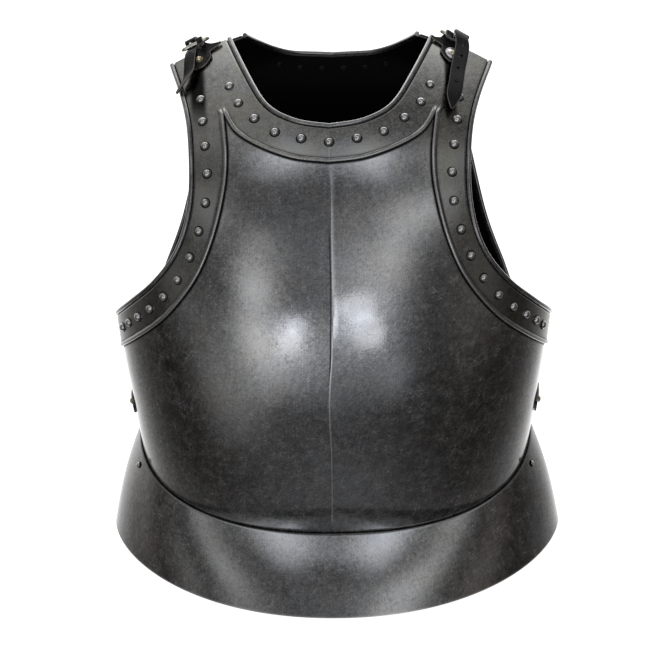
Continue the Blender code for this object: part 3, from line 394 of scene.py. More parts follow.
@dataclass
class Loft:
    """The outer face of one plate.

    Attributes:
        sections: The level sections, lowest first.
        facing: -1 for the front and 1 for the back.
        inset: How far the face lies inside its sections at the sides.
        tuck: How far the face reaches past the side line.
        dents: Height of the hammered unevenness.
        softness: Radius over which the sections are blended.
        keel_half_width: How far the keel reaches to each side.
        rib_height: Height of the narrow rib along the keel.
        rib_width: Half its width.
        heights: Heights at which the blended columns are kept.
        columns: The blended columns by name.
        waves: The direction, start and size of the waves of the unevenness.
    """

    sections: Sequence[Section]
    facing: float
    inset: float = 0.0
    tuck: float = 0.0
    dents: float = 0.00016
    softness: float = 0.006
    keel_half_width: float = 0.045
    rib_height: float = 0.0
    rib_width: float = 0.0006
    heights: Array = field(init=False)
    columns: dict[str, Array] = field(init=False)
    waves: Array = field(init=False)

    def __post_init__(self) -> None:
        """Work out the blended columns and the waves of the unevenness."""
        rows = np.array(self.sections)
        self.heights = np.arange(0.020, 0.5201, HEIGHT_STEP)
        reach = int(3 * self.softness / HEIGHT_STEP)
        kernel = np.exp(-0.5 * (np.arange(-reach, reach + 1) * HEIGHT_STEP / self.softness) ** 2)
        kernel /= kernel.sum()
        self.columns = {}
        for k, name in enumerate(Section._fields[1:], 1):
            values = self.cubic(rows[:, 0], rows[:, k], self.heights)
            padded = np.pad(values, reach, mode="reflect", reflect_type="odd")
            self.columns[name] = np.convolve(padded, kernel, mode="valid")
        chance = np.random.default_rng(11 if self.facing < 0 else 12)
        turns = chance.uniform(0, math.pi, WAVE_COUNT)
        lengths = chance.uniform(*WAVE_LENGTHS, WAVE_COUNT)
        self.waves = np.stack([
            2 * math.pi * np.cos(turns) / lengths, 2 * math.pi * np.sin(turns) / lengths,
            chance.uniform(0, 2 * math.pi, WAVE_COUNT), lengths / WAVE_LENGTHS[1],
        ])

    @staticmethod
    def cubic(places: Array, values: Array, at: Array) -> Array:
        """A cubic curve through a rising table, straight beyond its ends.

        Args:
            places: Where the table's values stand, lowest first.
            values: The values.
            at: Where the curve is read.

        Returns:
            The curve's values there.
        """
        last = len(places) - 1
        after = np.minimum(np.arange(last + 1) + 1, last)
        before = np.maximum(np.arange(last + 1) - 1, 0)
        slopes = (values[after] - values[before]) / (places[after] - places[before])
        inside = np.clip(at, places[0], places[-1])
        k = np.clip(np.searchsorted(places, inside, side="right") - 1, 0, last - 1)
        span = places[k + 1] - places[k]
        t = (inside - places[k]) / span
        curve = (
            values[k] * (2 * t**3 - 3 * t**2 + 1) + slopes[k] * span * (t**3 - 2 * t**2 + t)
            + values[k + 1] * (3 * t**2 - 2 * t**3) + slopes[k + 1] * span * (t**3 - t**2)
        )
        ends = np.where(at < places[0], slopes[0], slopes[-1])
        return curve + (at - inside) * ends

    def column(self, name: str, height: Array) -> Array:
        """One column of the sections at heights."""
        return np.interp(height, self.heights, self.columns[name])

    def face(self, angle: Array, height: Array) -> Array:
        """Points on the smooth face.

        Args:
            angle: Degrees round the body.
            height: Heights on the middle section.

        Returns:
            Points, with x, y and z on the last axis.
        """
        angle, height = np.broadcast_arrays(np.asarray(angle, float), np.asarray(height, float))
        turn = np.radians(np.abs(angle))
        across = (self.column("half_width", height) - self.inset) * np.sin(turn) ** (2 / BODY_POWER)
        depth = self.column("depth", height) + self.tuck
        ridge = self.column("keel", height) * np.maximum(1 - across / self.keel_half_width, 0.0) ** 2
        deep = depth * np.maximum(np.cos(turn), 0.0) ** (2 / BODY_POWER) - self.tuck + ridge
        drop = self.column("side_drop", height) * (across / 0.1) ** 2
        return np.stack([np.sign(angle) * across, self.facing * deep + DEPTH_SHIFT, height - drop], axis=-1)

    def upward(self, angle: Array, height: Array) -> Array:
        """Small steps up the face."""
        return self.face(angle, height + HEIGHT_STEP) - self.face(angle, height - HEIGHT_STEP)

    def sideways(self, angle: Array, height: Array) -> Array:
        """Small steps round the face toward +X, which stop at the side line."""
        far = self.face(np.minimum(angle + ANGLE_STEP, 90.0), height)
        return far - self.face(np.maximum(angle - ANGLE_STEP, -90.0), height)

    def normal(self, angle: Array, height: Array) -> Array:
        """Outward normals of the smooth face."""
        angle, height = np.broadcast_arrays(np.asarray(angle, float), np.asarray(height, float))
        return unit(np.cross(self.sideways(angle, height), self.upward(angle, height))) * -self.facing

    def unevenness(self, points: Array) -> Array:
        """How far the hammered face stands off its sections.

        Args:
            points: Points on the smooth face.

        Returns:
            A distance for each point.
        """
        along_x, along_z, start, size = self.waves
        phase = points[..., 0:1] * along_x + points[..., 2:3] * along_z + start
        return (np.sin(phase) * size).sum(axis=-1) * self.dents / 3.0

    def beside_rib(self, points: Array) -> Array:
        """How far points lie to the left of the rib, which wanders a little."""
        heights, offsets = np.array(RIB_LINE).T
        return points[..., 0] - self.cubic(heights, offsets * MM, points[..., 2])

    def rib(self, points: Array) -> Array:
        """How far the rib stands up at points."""
        share = smooth(0.0, 0.0010, self.column("keel", points[..., 2]))
        return self.rib_height * share * np.exp(-((self.beside_rib(points) / self.rib_width) ** 2))

    def point(self, angle: Array, height: Array, lift: Array = 0.0) -> Array:
        """Points at a lift off the hammered face.

        Args:
            angle: Degrees round the body.
            height: Heights on the middle section.
            lift: Distance off the face, outward.

        Returns:
            Points, with x, y and z on the last axis.
        """
        base = self.face(angle, height)
        rise = np.asarray(lift, float) + self.unevenness(base) + self.rib(base)
        return base + self.normal(angle, height) * rise[..., None]


@dataclass
class Outline:
    """A smooth line through marks on a loft, read by a fraction of its length."""

    loft: Loft
    marks: Sequence[Mark]
    rows: Array = field(init=False)
    distances: Array = field(init=False)

    def __post_init__(self) -> None:
        """Trace the line."""
        self.rows = catmull(np.array(self.marks), 14)
        self.distances = path_rows(self.loft.face(self.rows[:, 0], self.rows[:, 1]))

    def at(self, fractions: Array) -> Array:
        """Angle and height rows at fractions of the length."""
        target = np.clip(fractions, 0.0, 1.0) * self.distances[-1]
        return np.stack([np.interp(target, self.distances, self.rows[:, k]) for k in (0, 1)], axis=-1)

    def nearest(self, target: Array) -> float:
        """The fraction of the length that lies nearest to a point."""
        gaps = np.linalg.norm(self.loft.face(self.rows[:, 0], self.rows[:, 1]) - target, axis=1)
        return float(self.distances[int(np.argmin(gaps))] / self.distances[-1])


# ---------------------------------------------------------------- shader graphs

class Wire:
    """A number or vector in a shader graph, with arithmetic that adds Math nodes."""

    def __init__(self, graph: "Graph", socket: bpy.types.NodeSocket) -> None:
        """Hold a socket of a graph."""
        self.graph = graph
        self.socket = socket

    def __add__(self, other: "Wire | float") -> "Wire":
        """Sum."""
        return self.graph.math("ADD", self, other)

    def __sub__(self, other: "Wire | float") -> "Wire":
        """Difference."""
        return self.graph.math("SUBTRACT", self, other)

    def __rsub__(self, other: "Wire | float") -> "Wire":
        """Reflected difference."""
        return self.graph.math("SUBTRACT", other, self)

    def __mul__(self, other: "Wire | float") -> "Wire":
        """Product."""
        return self.graph.math("MULTIPLY", self, other)

    __radd__ = __add__
    __rmul__ = __mul__

    def clamp(self) -> "Wire":
        """The value held between 0 and 1."""
        return self.graph.math("MINIMUM", self.graph.math("MAXIMUM", self, 0.0), 1.0)

    def exp(self) -> "Wire":
        """The exponential."""
        return self.graph.math("EXPONENT", self)

    def above(self, level: float) -> "Wire":
        """1 where the value is over a level, else 0."""
        return self.graph.math("GREATER_THAN", self, level)

    def step(self, low: float, high: float) -> "Wire":
        """A smooth step from 0 at low to 1 at high."""
        inputs = {"Value": self, "From Min": low, "From Max": high}
        return self.graph.wire("ShaderNodeMapRange", {"interpolation_type": "SMOOTHSTEP"}, inputs, "Result")


class Graph:
    """The nodes of one material or world."""

    def __init__(self, owner: "bpy.types.Material | bpy.types.World") -> None:
        """Start an empty graph on its owner."""
        owner.use_nodes = True
        self.tree = owner.node_tree
        self.tree.nodes.clear()

    def node(self, kind: str, settings: dict | None = None, inputs: dict | None = None) -> bpy.types.Node:
        """Add one node.

        Args:
            kind: The node's type.
            settings: Its properties.
            inputs: Values or wires for its sockets, by name or number.

        Returns:
            The node.
        """
        made = self.tree.nodes.new(kind)
        for name, value in (settings or {}).items():
            setattr(made, name, value)
        for key, value in (inputs or {}).items():
            if isinstance(value, Wire):
                self.tree.links.new(value.socket, made.inputs[key])
            else:
                made.inputs[key].default_value = value
        return made

    def wire(
        self, kind: str, settings: dict | None = None, inputs: dict | None = None, output: int | str = 0,
    ) -> Wire:
        """One output of a new node."""
        return Wire(self, self.node(kind, settings, inputs).outputs[output])

    def math(self, operation: str, *values: Wire | float) -> Wire:
        """One Math node."""
        return self.wire("ShaderNodeMath", {"operation": operation}, dict(enumerate(values)))

    def mix(self, share: Wire | float, first: Wire | tuple, second: Wire | tuple) -> Wire:
        """A colour part of the way from one to another."""
        inputs = {0: share, 6: self.colour(first), 7: self.colour(second)}
        return self.wire("ShaderNodeMix", {"data_type": "RGBA", "clamp_factor": True}, inputs, 2)

    def scale(self, colour: Wire | tuple, amount: Wire | float) -> Wire:
        """A colour times a number."""
        return self.wire("ShaderNodeVectorMath", {"operation": "SCALE"}, {0: colour, "Scale": amount})

    def plus(self, first: Wire | tuple, second: Wire | tuple) -> Wire:
        """Two colours or vectors added."""
        return self.wire("ShaderNodeVectorMath", {"operation": "ADD"}, {0: first, 1: second})

    def dot(self, first: Wire, second: tuple[float, float, float]) -> Wire:
        """The dot product of a vector with a fixed one."""
        return self.wire("ShaderNodeVectorMath", {"operation": "DOT_PRODUCT"}, {0: first, 1: second}, "Value")

    @staticmethod
    def colour(value: Wire | tuple) -> Wire | tuple:
        """A colour with its alpha, as a colour socket takes it."""
        return value if isinstance(value, Wire) else (*value, 1.0)

    def place(self, kind: str = "Object") -> Wire:
        """The place on the object, in metres, or another kind of coordinate."""
        return self.wire("ShaderNodeTexCoord", output=kind)

    def parts(self, place: Wire) -> tuple[Wire, Wire, Wire]:
        """The x, y and z of a place."""
        made = self.node("ShaderNodeSeparateXYZ", None, {0: place})
        return tuple(Wire(self, output) for output in made.outputs)

    def mask(self, name: str) -> Wire:
        """A number stored at the vertices."""
        return self.wire("ShaderNodeAttribute", {"attribute_name": name}, output="Fac")

    def noise(self, place: Wire, scale: float, detail: float = 2.0, roughness: float = 0.5) -> Wire:
        """Cloudy noise with features of one over the scale, in metres."""
        inputs = {"Vector": place, "Scale": scale, "Detail": detail, "Roughness": roughness}
        return self.wire("ShaderNodeTexNoise", None, inputs, "Fac")

    def cells(self, place: Wire, scale: float) -> Wire:
        """Distance to the nearest of scattered points."""
        inputs = {"Vector": place, "Scale": scale, "Randomness": 1.0}
        return self.wire("ShaderNodeTexVoronoi", {"feature": "F1"}, inputs, "Distance")

    def drawn_out(self, place: Wire, turn: tuple[float, float, float], length: float) -> Wire:
        """Coordinates that draw a noise out into strokes.

        Args:
            place: The coordinates.
            turn: Their turn about each axis, in degrees.
            length: How many times they are drawn out.

        Returns:
            The new coordinates.
        """
        rotation = tuple(math.radians(value) for value in turn)
        inputs = {"Vector": place, "Rotation": rotation, "Scale": (1.0, length, length)}
        return self.wire("ShaderNodeMapping", {"vector_type": "TEXTURE"}, inputs, "Vector")

    def bump(self, height: Wire, strength: float, distance: float) -> Wire:
        """A normal bent by a height."""
        inputs = {"Height": height, "Strength": strength, "Distance": distance}
        return self.wire("ShaderNodeBump", None, inputs, "Normal")

    def surface(self, inputs: dict) -> None:
        """The Principled shader and the output."""
        shader = self.wire("ShaderNodeBsdfPrincipled", None, inputs, "BSDF")
        self.node("ShaderNodeOutputMaterial", None, {"Surface": shader})


# ---------------------------------------------------------------- finishes

@dataclass(frozen=True)
class StrapShade:
    """Painted shade under a shoulder strap: a dark upright band for the strap's dark reflection and shadow on
    the border.

    Attributes:
        x: Where its foot stands, in metres.
        lean: How far it leans to +X for each metre it goes up.
        half_width: Half its width.
        foot: Height of its lower end.
        top: Height of its upper end.
    """

    x: float
    lean: float
    half_width: float
    foot: float = 0.41
    top: float = 0.47

    def depth(self, graph: Graph, place: Wire) -> Wire:
        """How dark the painted shade is by place.

        Args:
            graph: The steel's nodes.
            place: The place on the object.

        Returns:
            A number from 0 to 1.
        """
        x, y, z = graph.parts(place)
        aside = graph.math("ABSOLUTE", x - (z - self.foot) * self.lean - self.x)
        across = 1.0 - aside.step(0.55 * self.half_width, 1.25 * self.half_width)
        upright = z.step(self.foot, self.foot + 0.025) * (1.0 - z.step(self.top - 0.010, self.top))
        return across * upright * (1.0 - y.above(0.05))


@dataclass(frozen=True)
class Steel:
    """Blackened and rubbed steel.

    Attributes:
        warm: Reflectance where it leans brown.
        cool: Reflectance where it leans blue.
        roughness: Roughness of the clean face.
        mottling: How strongly the patches differ.
        strokes: How strongly the fine cross-hatched scouring shows.
        relief: Height of the fine unevenness.
        inner: Reflectance of the face turned to the body.
        polished: Reflectance where highlights are painted.
        dust: How dull the grain of the scouring is.
        strap_shades: Painted shade under the shoulder straps.
    """

    warm: tuple[float, float, float]
    cool: tuple[float, float, float]
    roughness: float
    mottling: float
    strokes: float
    relief: float
    inner: tuple[float, float, float] = (0.020, 0.019, 0.019)
    polished: tuple[float, float, float] = (0.62, 0.62, 0.62)
    dust: float = 0.0
    strap_shades: tuple[StrapShade, ...] = ()

    def paint(self, graph: Graph) -> None:
        """Build the steel's nodes.

        Args:
            graph: The empty graph of the material.
        """
        place = graph.place()
        crevice_shade, polish, inside = graph.mask("crevice_shade"), graph.mask("polish"), graph.mask("inside")
        clouds = graph.noise(place, 13.0, 4.0, 0.6)
        patches = graph.noise(place, 85.0, 5.0, 0.66)
        grain = graph.noise(place, 640.0, 3.0, 0.7)
        strokes = [graph.noise(graph.drawn_out(place, s.turn, s.length), s.fineness, 1.0) for s in HATCHING]
        hatch = sum(strokes[1:], strokes[0]) - 2.0
        tone = (
            1.0 + (clouds - 0.5) * self.mottling + (patches - 0.5) * self.mottling
            + (grain - 0.5) * self.strokes + hatch * self.strokes
        )
        hue = graph.noise(place, 34.0, 3.0).step(0.36, 0.64)
        colour = graph.scale(graph.mix(hue, self.warm, self.cool), tone)
        # Painted highlight: the rib's crest, the rolls' crests, the border's bead and outer edge, and the
        # lame's edges are lightened toward a pale colour here. Below, they are made less metallic, so that
        # they read brighter.
        colour = graph.mix((polish * (0.2 + grain * 1.6)).clamp(), colour, self.polished)
        # Painted shade: the foot of each roll, the border's outer edge and both feet of its bead, the rivets'
        # feet, the waist seam and the lame's top are darkened here. A dark band is also painted under each
        # shoulder strap for the strap's dark reflection and shadow, and the dark line beside the rib is
        # darkened here too.
        dark = crevice_shade * 0.94
        for strap_shade in self.strap_shades:
            dark = dark + strap_shade.depth(graph, place) * 0.97
        colour = graph.scale(colour, 1.0 - dark.clamp())
        colour = graph.mix(inside, colour, self.inner)
        rough = (
            self.roughness + (patches - 0.5) * 0.12 + (clouds - 0.5) * 0.10 + hatch * 0.14
            + (grain - 0.5) * 0.10 + crevice_shade * 0.3 + inside * 0.25
        )
        dull = (hatch + grain).clamp() * patches.step(0.30, 0.70) * self.dust
        metal = 1.0 - dull * (1.0 - inside) * (1.0 - polish.clamp()) - polish.clamp() * 0.5
        rough = graph.math("MAXIMUM", rough, 0.06)
        normal = graph.bump(hatch + grain * 0.5, self.relief, 0.0003)
        graph.surface({"Base Color": colour, "Metallic": metal, "Roughness": rough, "Normal": normal})


@dataclass(frozen=True)
class Brass:
    """Cast brass or nickel with a dull skin in its hollows.

    Attributes:
        colour: Reflectance of the clean metal.
        tarnish: Reflectance of the dull skin.
        roughness: Roughness of the clean metal.
        washer: Reflectance of a plated washer under it.
    """

    colour: tuple[float, float, float]
    tarnish: tuple[float, float, float]
    roughness: float = 0.20
    washer: tuple[float, float, float] = (0.93, 0.93, 0.92)

    def paint(self, graph: Graph) -> None:
        """Build the brass's nodes.

        Args:
            graph: The empty graph of the material.
        """
        place = graph.place()
        crevice_shade = graph.mask("crevice_shade")
        patches = graph.noise(place, 420.0, 4.0, 0.6)
        # Painted shade: the rivets' foot rings are darkened toward the tarnish colour here, besides the
        # tarnish patches.
        dull = (patches.step(0.45, 0.75) * 0.3 + crevice_shade * 0.8).clamp()
        colour = graph.mix(dull, self.colour, self.tarnish)
        colour = graph.mix(graph.mask("pale"), colour, self.washer)
        rough = self.roughness + patches * 0.12 + crevice_shade * 0.3
        normal = graph.bump(patches, 0.15, 0.0002)
        graph.surface({"Base Color": colour, "Metallic": 1.0, "Roughness": rough.clamp(), "Normal": normal})


@dataclass(frozen=True)
class Leather:
    """Black strap leather with a raw cut edge.

    Attributes:
        face: Colour of the smooth face.
        faded: Colour of the creases.
        raw: Colour of the cut edge's fibres.
        gloss: Specular level.
    """

    face: tuple[float, float, float] = (0.011, 0.0098, 0.0125)
    faded: tuple[float, float, float] = (0.040, 0.037, 0.041)
    raw: tuple[float, float, float] = (0.36, 0.34, 0.31)
    gloss: float = 0.18

    def paint(self, graph: Graph) -> None:
        """Build the leather's nodes.

        Args:
            graph: The empty graph of the material.
        """
        place = graph.place()
        edge = graph.mask("cut_edge")
        grain = graph.cells(place, 1100.0)
        creases = graph.noise(place, 260.0, 4.0, 0.6)
        fibres = graph.noise(place, 1500.0, 2.0)
        colour = graph.mix(creases.step(0.52, 0.70) * 0.6, self.face, self.faded)
        colour = graph.mix((edge * (0.25 + fibres)).clamp(), colour, self.raw)
        rough = (0.42 + creases * 0.16 + edge * 0.3).clamp()
        normal = graph.bump(grain * -0.7 + creases, 0.35, 0.0003)
        graph.surface({
            "Base Color": colour, "Roughness": rough, "Normal": normal, "Specular IOR Level": self.gloss,
        })


FINISHES: dict[Slot, "Steel | Brass | Leather"] = {
    Slot.PLATE: Steel((0.334, 0.330, 0.326), (0.326, 0.330, 0.334), 0.105, 0.40, 0.60, 0.04, dust=0.36),
    Slot.BORDER: Steel(
        (0.284, 0.282, 0.260), (0.278, 0.280, 0.278), 0.24, 0.50, 0.40, 0.06,
        # Painted shade under the two shoulder straps: their dark reflection and shadow on the border.
        strap_shades=(StrapShade(-0.11, -0.2, 0.008), StrapShade(0.105, 0.0, 0.005)),
    ),
    Slot.RIVET: Steel((0.62, 0.61, 0.60), (0.61, 0.61, 0.62), 0.20, 0.25, 0.15, 0.05),
    Slot.BUCKLE: Brass((0.88, 0.86, 0.78), (0.42, 0.39, 0.30)),
    Slot.BRASS: Brass((0.88, 0.79, 0.56), (0.38, 0.30, 0.15)),
    Slot.LEATHER: Leather(),
}


def finish_for(slot: Slot) -> bpy.types.Material:
    """The one material of a slot, made when it is first asked for.

    Args:
        slot: The slot.

    Returns:
        Its material.
    """
    name = f"{slot.value}_finish"
    made = bpy.data.materials.get(name)
    if made is None:
        made = bpy.data.materials.new(name)
        FINISHES[slot].paint(Graph(made))
    return made


# ---------------------------------------------------------------- meshes

def filled_mesh(
    name: str, points: Array, faces: Sequence[Sequence[int]], masks: dict[str, Array],
) -> bpy.types.Mesh:
    """A mesh whose faces all turn outward.

    Args:
        name: The mesh's name.
        points: Its vertices.
        faces: Its faces as tuples of vertex numbers.
        masks: Named numbers at the vertices, which the finishes read.

    Returns:
        The mesh.
    """
    mesh = bpy.data.meshes.new(name)
    mesh.from_pydata([tuple(p) for p in points], [], [tuple(f) for f in faces])
    for label, values in masks.items():
        layer = mesh.attributes.new(label, "FLOAT", "POINT")
        layer.data.foreach_set("value", np.asarray(values, np.float32))
    work = bmesh.new()
    work.from_mesh(mesh)
    bmesh.ops.recalc_face_normals(work, faces=work.faces)
    work.to_mesh(mesh)
    work.free()
    return mesh


def add_piece(
    name: str, points: Array, faces: Sequence[Sequence[int]], slot: Slot, nodes: Iterable[str],
    masks: dict[str, Array], smooth_angle: float = 40.0,
) -> bpy.types.Object:
    """Make one piece of the cuirass.

    Args:
        name: The piece's name.
        points: Its vertices.
        faces: Its faces as tuples of vertex numbers.
        slot: The record's slot for its finish.
        nodes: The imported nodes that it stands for.
        masks: Named numbers at the vertices, which the finishes read.
        smooth_angle: Edges sharper than this many degrees stay crisp.

    Returns:
        The object, riding on the body.
    """
    mesh = filled_mesh(name, points, faces, masks)
    mesh.shade_smooth()
    mesh.set_sharp_from_angle(angle=math.radians(smooth_angle))
    made = bpy.data.objects.new(name, mesh)
    bpy.context.scene.collection.objects.link(made)
    mesh.materials.append(finish_for(slot))
    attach(made, "root")
    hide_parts(*nodes)
    return made


class Sheet:
    """A closed sheet of metal grown from grids that meet along shared edges."""

    def __init__(self) -> None:
        """Start with no grids."""
        self.outer: list[Array] = []
        self.inner: list[Array] = []
        self.masks: dict[str, list[Array]] = {"crevice_shade": [], "polish": []}
        self.cells: list[Array] = []
        self.count = 0

    def grid(
        self, outer: Array, inner: Array, crevice_shade: Array | float = 0.0, polish: Array | float = 0.0,
    ) -> None:
        """Add a grid of cells.

        Args:
            outer: Rows by columns of points on the outer face.
            inner: The matching points on the inner face.
            crevice_shade: How much painted shade each point gets, 0 to 1.
            polish: How much painted highlight each point gets, 0 to 1.
        """
        rows, columns = outer.shape[:2]
        numbers = np.arange(rows * columns).reshape(rows, columns) + self.count
        cells = np.stack([numbers[:-1, :-1], numbers[:-1, 1:], numbers[1:, 1:], numbers[1:, :-1]], axis=-1)
        self.cells.append(cells.reshape(-1, 4))
        self.outer.append(outer.reshape(-1, 3))
        self.inner.append(inner.reshape(-1, 3))
        for label, values in (("crevice_shade", crevice_shade), ("polish", polish)):
            self.masks[label].append(np.broadcast_to(values, (rows, columns)).reshape(-1))
        self.count += rows * columns

    def close(
        self, rolls: Array | None = None, radius: float = 0.0, steps: int = 11,
    ) -> tuple[Array, list, dict]:
        """Weld the grids, wall the rim and roll part of it.

        Args:
            rolls: Points of the outer face whose rim is rolled.
            radius: Radius of the roll.
            steps: Points round the roll.

        Returns:
            Points, faces and masks of the closed sheet.
        """
        outer, inner = np.concatenate(self.outer), np.concatenate(self.inner)
        masks = {label: np.concatenate(parts) for label, parts in self.masks.items()}
        tree = KDTree(len(outer))
        for i, point in enumerate(outer):
            tree.insert(point, i)
        tree.balance()
        first = np.array([min(index for _, index, _ in tree.find_range(point, 2e-5)) for point in outer])
        keep, welded = np.unique(first, return_inverse=True)
        outer, inner = outer[keep], inner[keep]
        masks = {label: values[keep] for label, values in masks.items()}
        faces = []
        for cell in welded[np.concatenate(self.cells)]:
            face = tuple(dict.fromkeys(int(i) for i in cell))
            if len(face) > 2:
                faces.append(face)
        uses: dict[tuple[int, int], int] = {}
        middles: dict[int, list[Array]] = {}
        for face in faces:
            middle = outer[list(face)].mean(axis=0)
            for a, b in zip(face, face[1:] + face[:1]):
                key = (min(a, b), max(a, b))
                uses[key] = uses.get(key, 0) + 1
                middles.setdefault(a, []).append(middle)
        rim = [edge for edge, count in uses.items() if count == 1]
        count = len(outer)
        rolled: set[int] = set()
        if rolls is not None:
            for point in rolls:
                _, index, gap = tree.find(point)
                if gap < 5e-5:
                    rolled.add(int(welded[index]))
        edges = {edge for edge in rim if edge[0] in rolled and edge[1] in rolled}
        profiles, extra = self.roll_profiles(edges, outer, inner, middles, radius, steps, 2 * count)
        walls = [tuple(reversed([count + i for i in face])) for face in faces]
        ends: dict[int, int] = {}
        for a, b in rim:
            if (a, b) not in edges:
                walls.append((a, b, count + b, count + a))
                continue
            near = [a, *profiles[a], count + a]
            far = [b, *profiles[b], count + b]
            walls += [(near[k], far[k], far[k + 1], near[k + 1]) for k in range(steps + 1)]
            ends[a] = ends.get(a, 0) + 1
            ends[b] = ends.get(b, 0) + 1
        walls += [(i, *profiles[i], count + i) for i, times in ends.items() if times == 1]
        points = np.concatenate([outer, inner, extra]) if len(extra) else np.concatenate([outer, inner])
        # Round each roll: painted shade, least at the middle of its turn, and a faint painted highlight
        # there.
        shine = np.tile(np.sin(np.linspace(0, math.pi, steps + 2)[1:-1]), len(extra) // max(steps, 1))
        full = {
            "crevice_shade": np.concatenate([masks["crevice_shade"], np.zeros(count), 0.45 - 0.25 * shine]),
            "polish": np.concatenate([masks["polish"], np.zeros(count), 0.10 * shine]),
            "inside": np.concatenate([np.zeros(count), np.ones(count), np.zeros(len(extra))]),
        }
        return points, faces + walls, full

    @staticmethod
    def roll_profiles(
        edges: set[tuple[int, int]], outer: Array, inner: Array, middles: dict[int, list[Array]],
        radius: float, steps: int, start: int,
    ) -> tuple[dict[int, list[int]], Array]:
        """New points round the roll at each corner of the rolled edges.

        Args:
            edges: The rolled edges.
            outer: Points of the outer face.
            inner: Points of the inner face.
            middles: The middles of the faces round each point.
            radius: Radius of the roll.
            steps: Points round the roll.
            start: The number that the first new point gets.

        Returns:
            The new points' numbers by corner, and the points.
        """
        ways: dict[int, list[Array]] = {}
        for a, b in sorted(edges):
            run = unit(outer[b] - outer[a])
            for i in (a, b):
                known = ways.setdefault(i, [])
                known.append(run if not known or run @ known[0] > 0 else -run)
        turns = np.radians(np.linspace(180, -90, steps))
        profiles: dict[int, list[int]] = {}
        extra: list[Array] = []
        for i, runs in ways.items():
            run = unit(sum(runs))
            up = unit(outer[i] - inner[i])
            out = unit(np.cross(run, up))
            if out @ (sum(middles[i]) / len(middles[i]) - outer[i]) > 0:
                out = -out
            hub = inner[i] + (up + out) * radius
            profiles[i] = list(range(start + len(extra), start + len(extra) + steps))
            extra += [hub + (out * math.cos(turn) + up * math.sin(turn)) * radius for turn in turns]
        return profiles, np.array(extra)


# ---------------------------------------------------------------- plates

@dataclass
class PlateSizes:
    """Sizes that the front and the back share."""

    sheet: float = 0.0015
    trim: float = 0.0012
    gap: float = 0.0003
    roll: float = 0.0022
    bead_width: float = 0.0042
    flange: float = 0.017
    lame_start: float = 0.0006
    lame_bulge: float = 0.003
    waist_power: float = 1.15


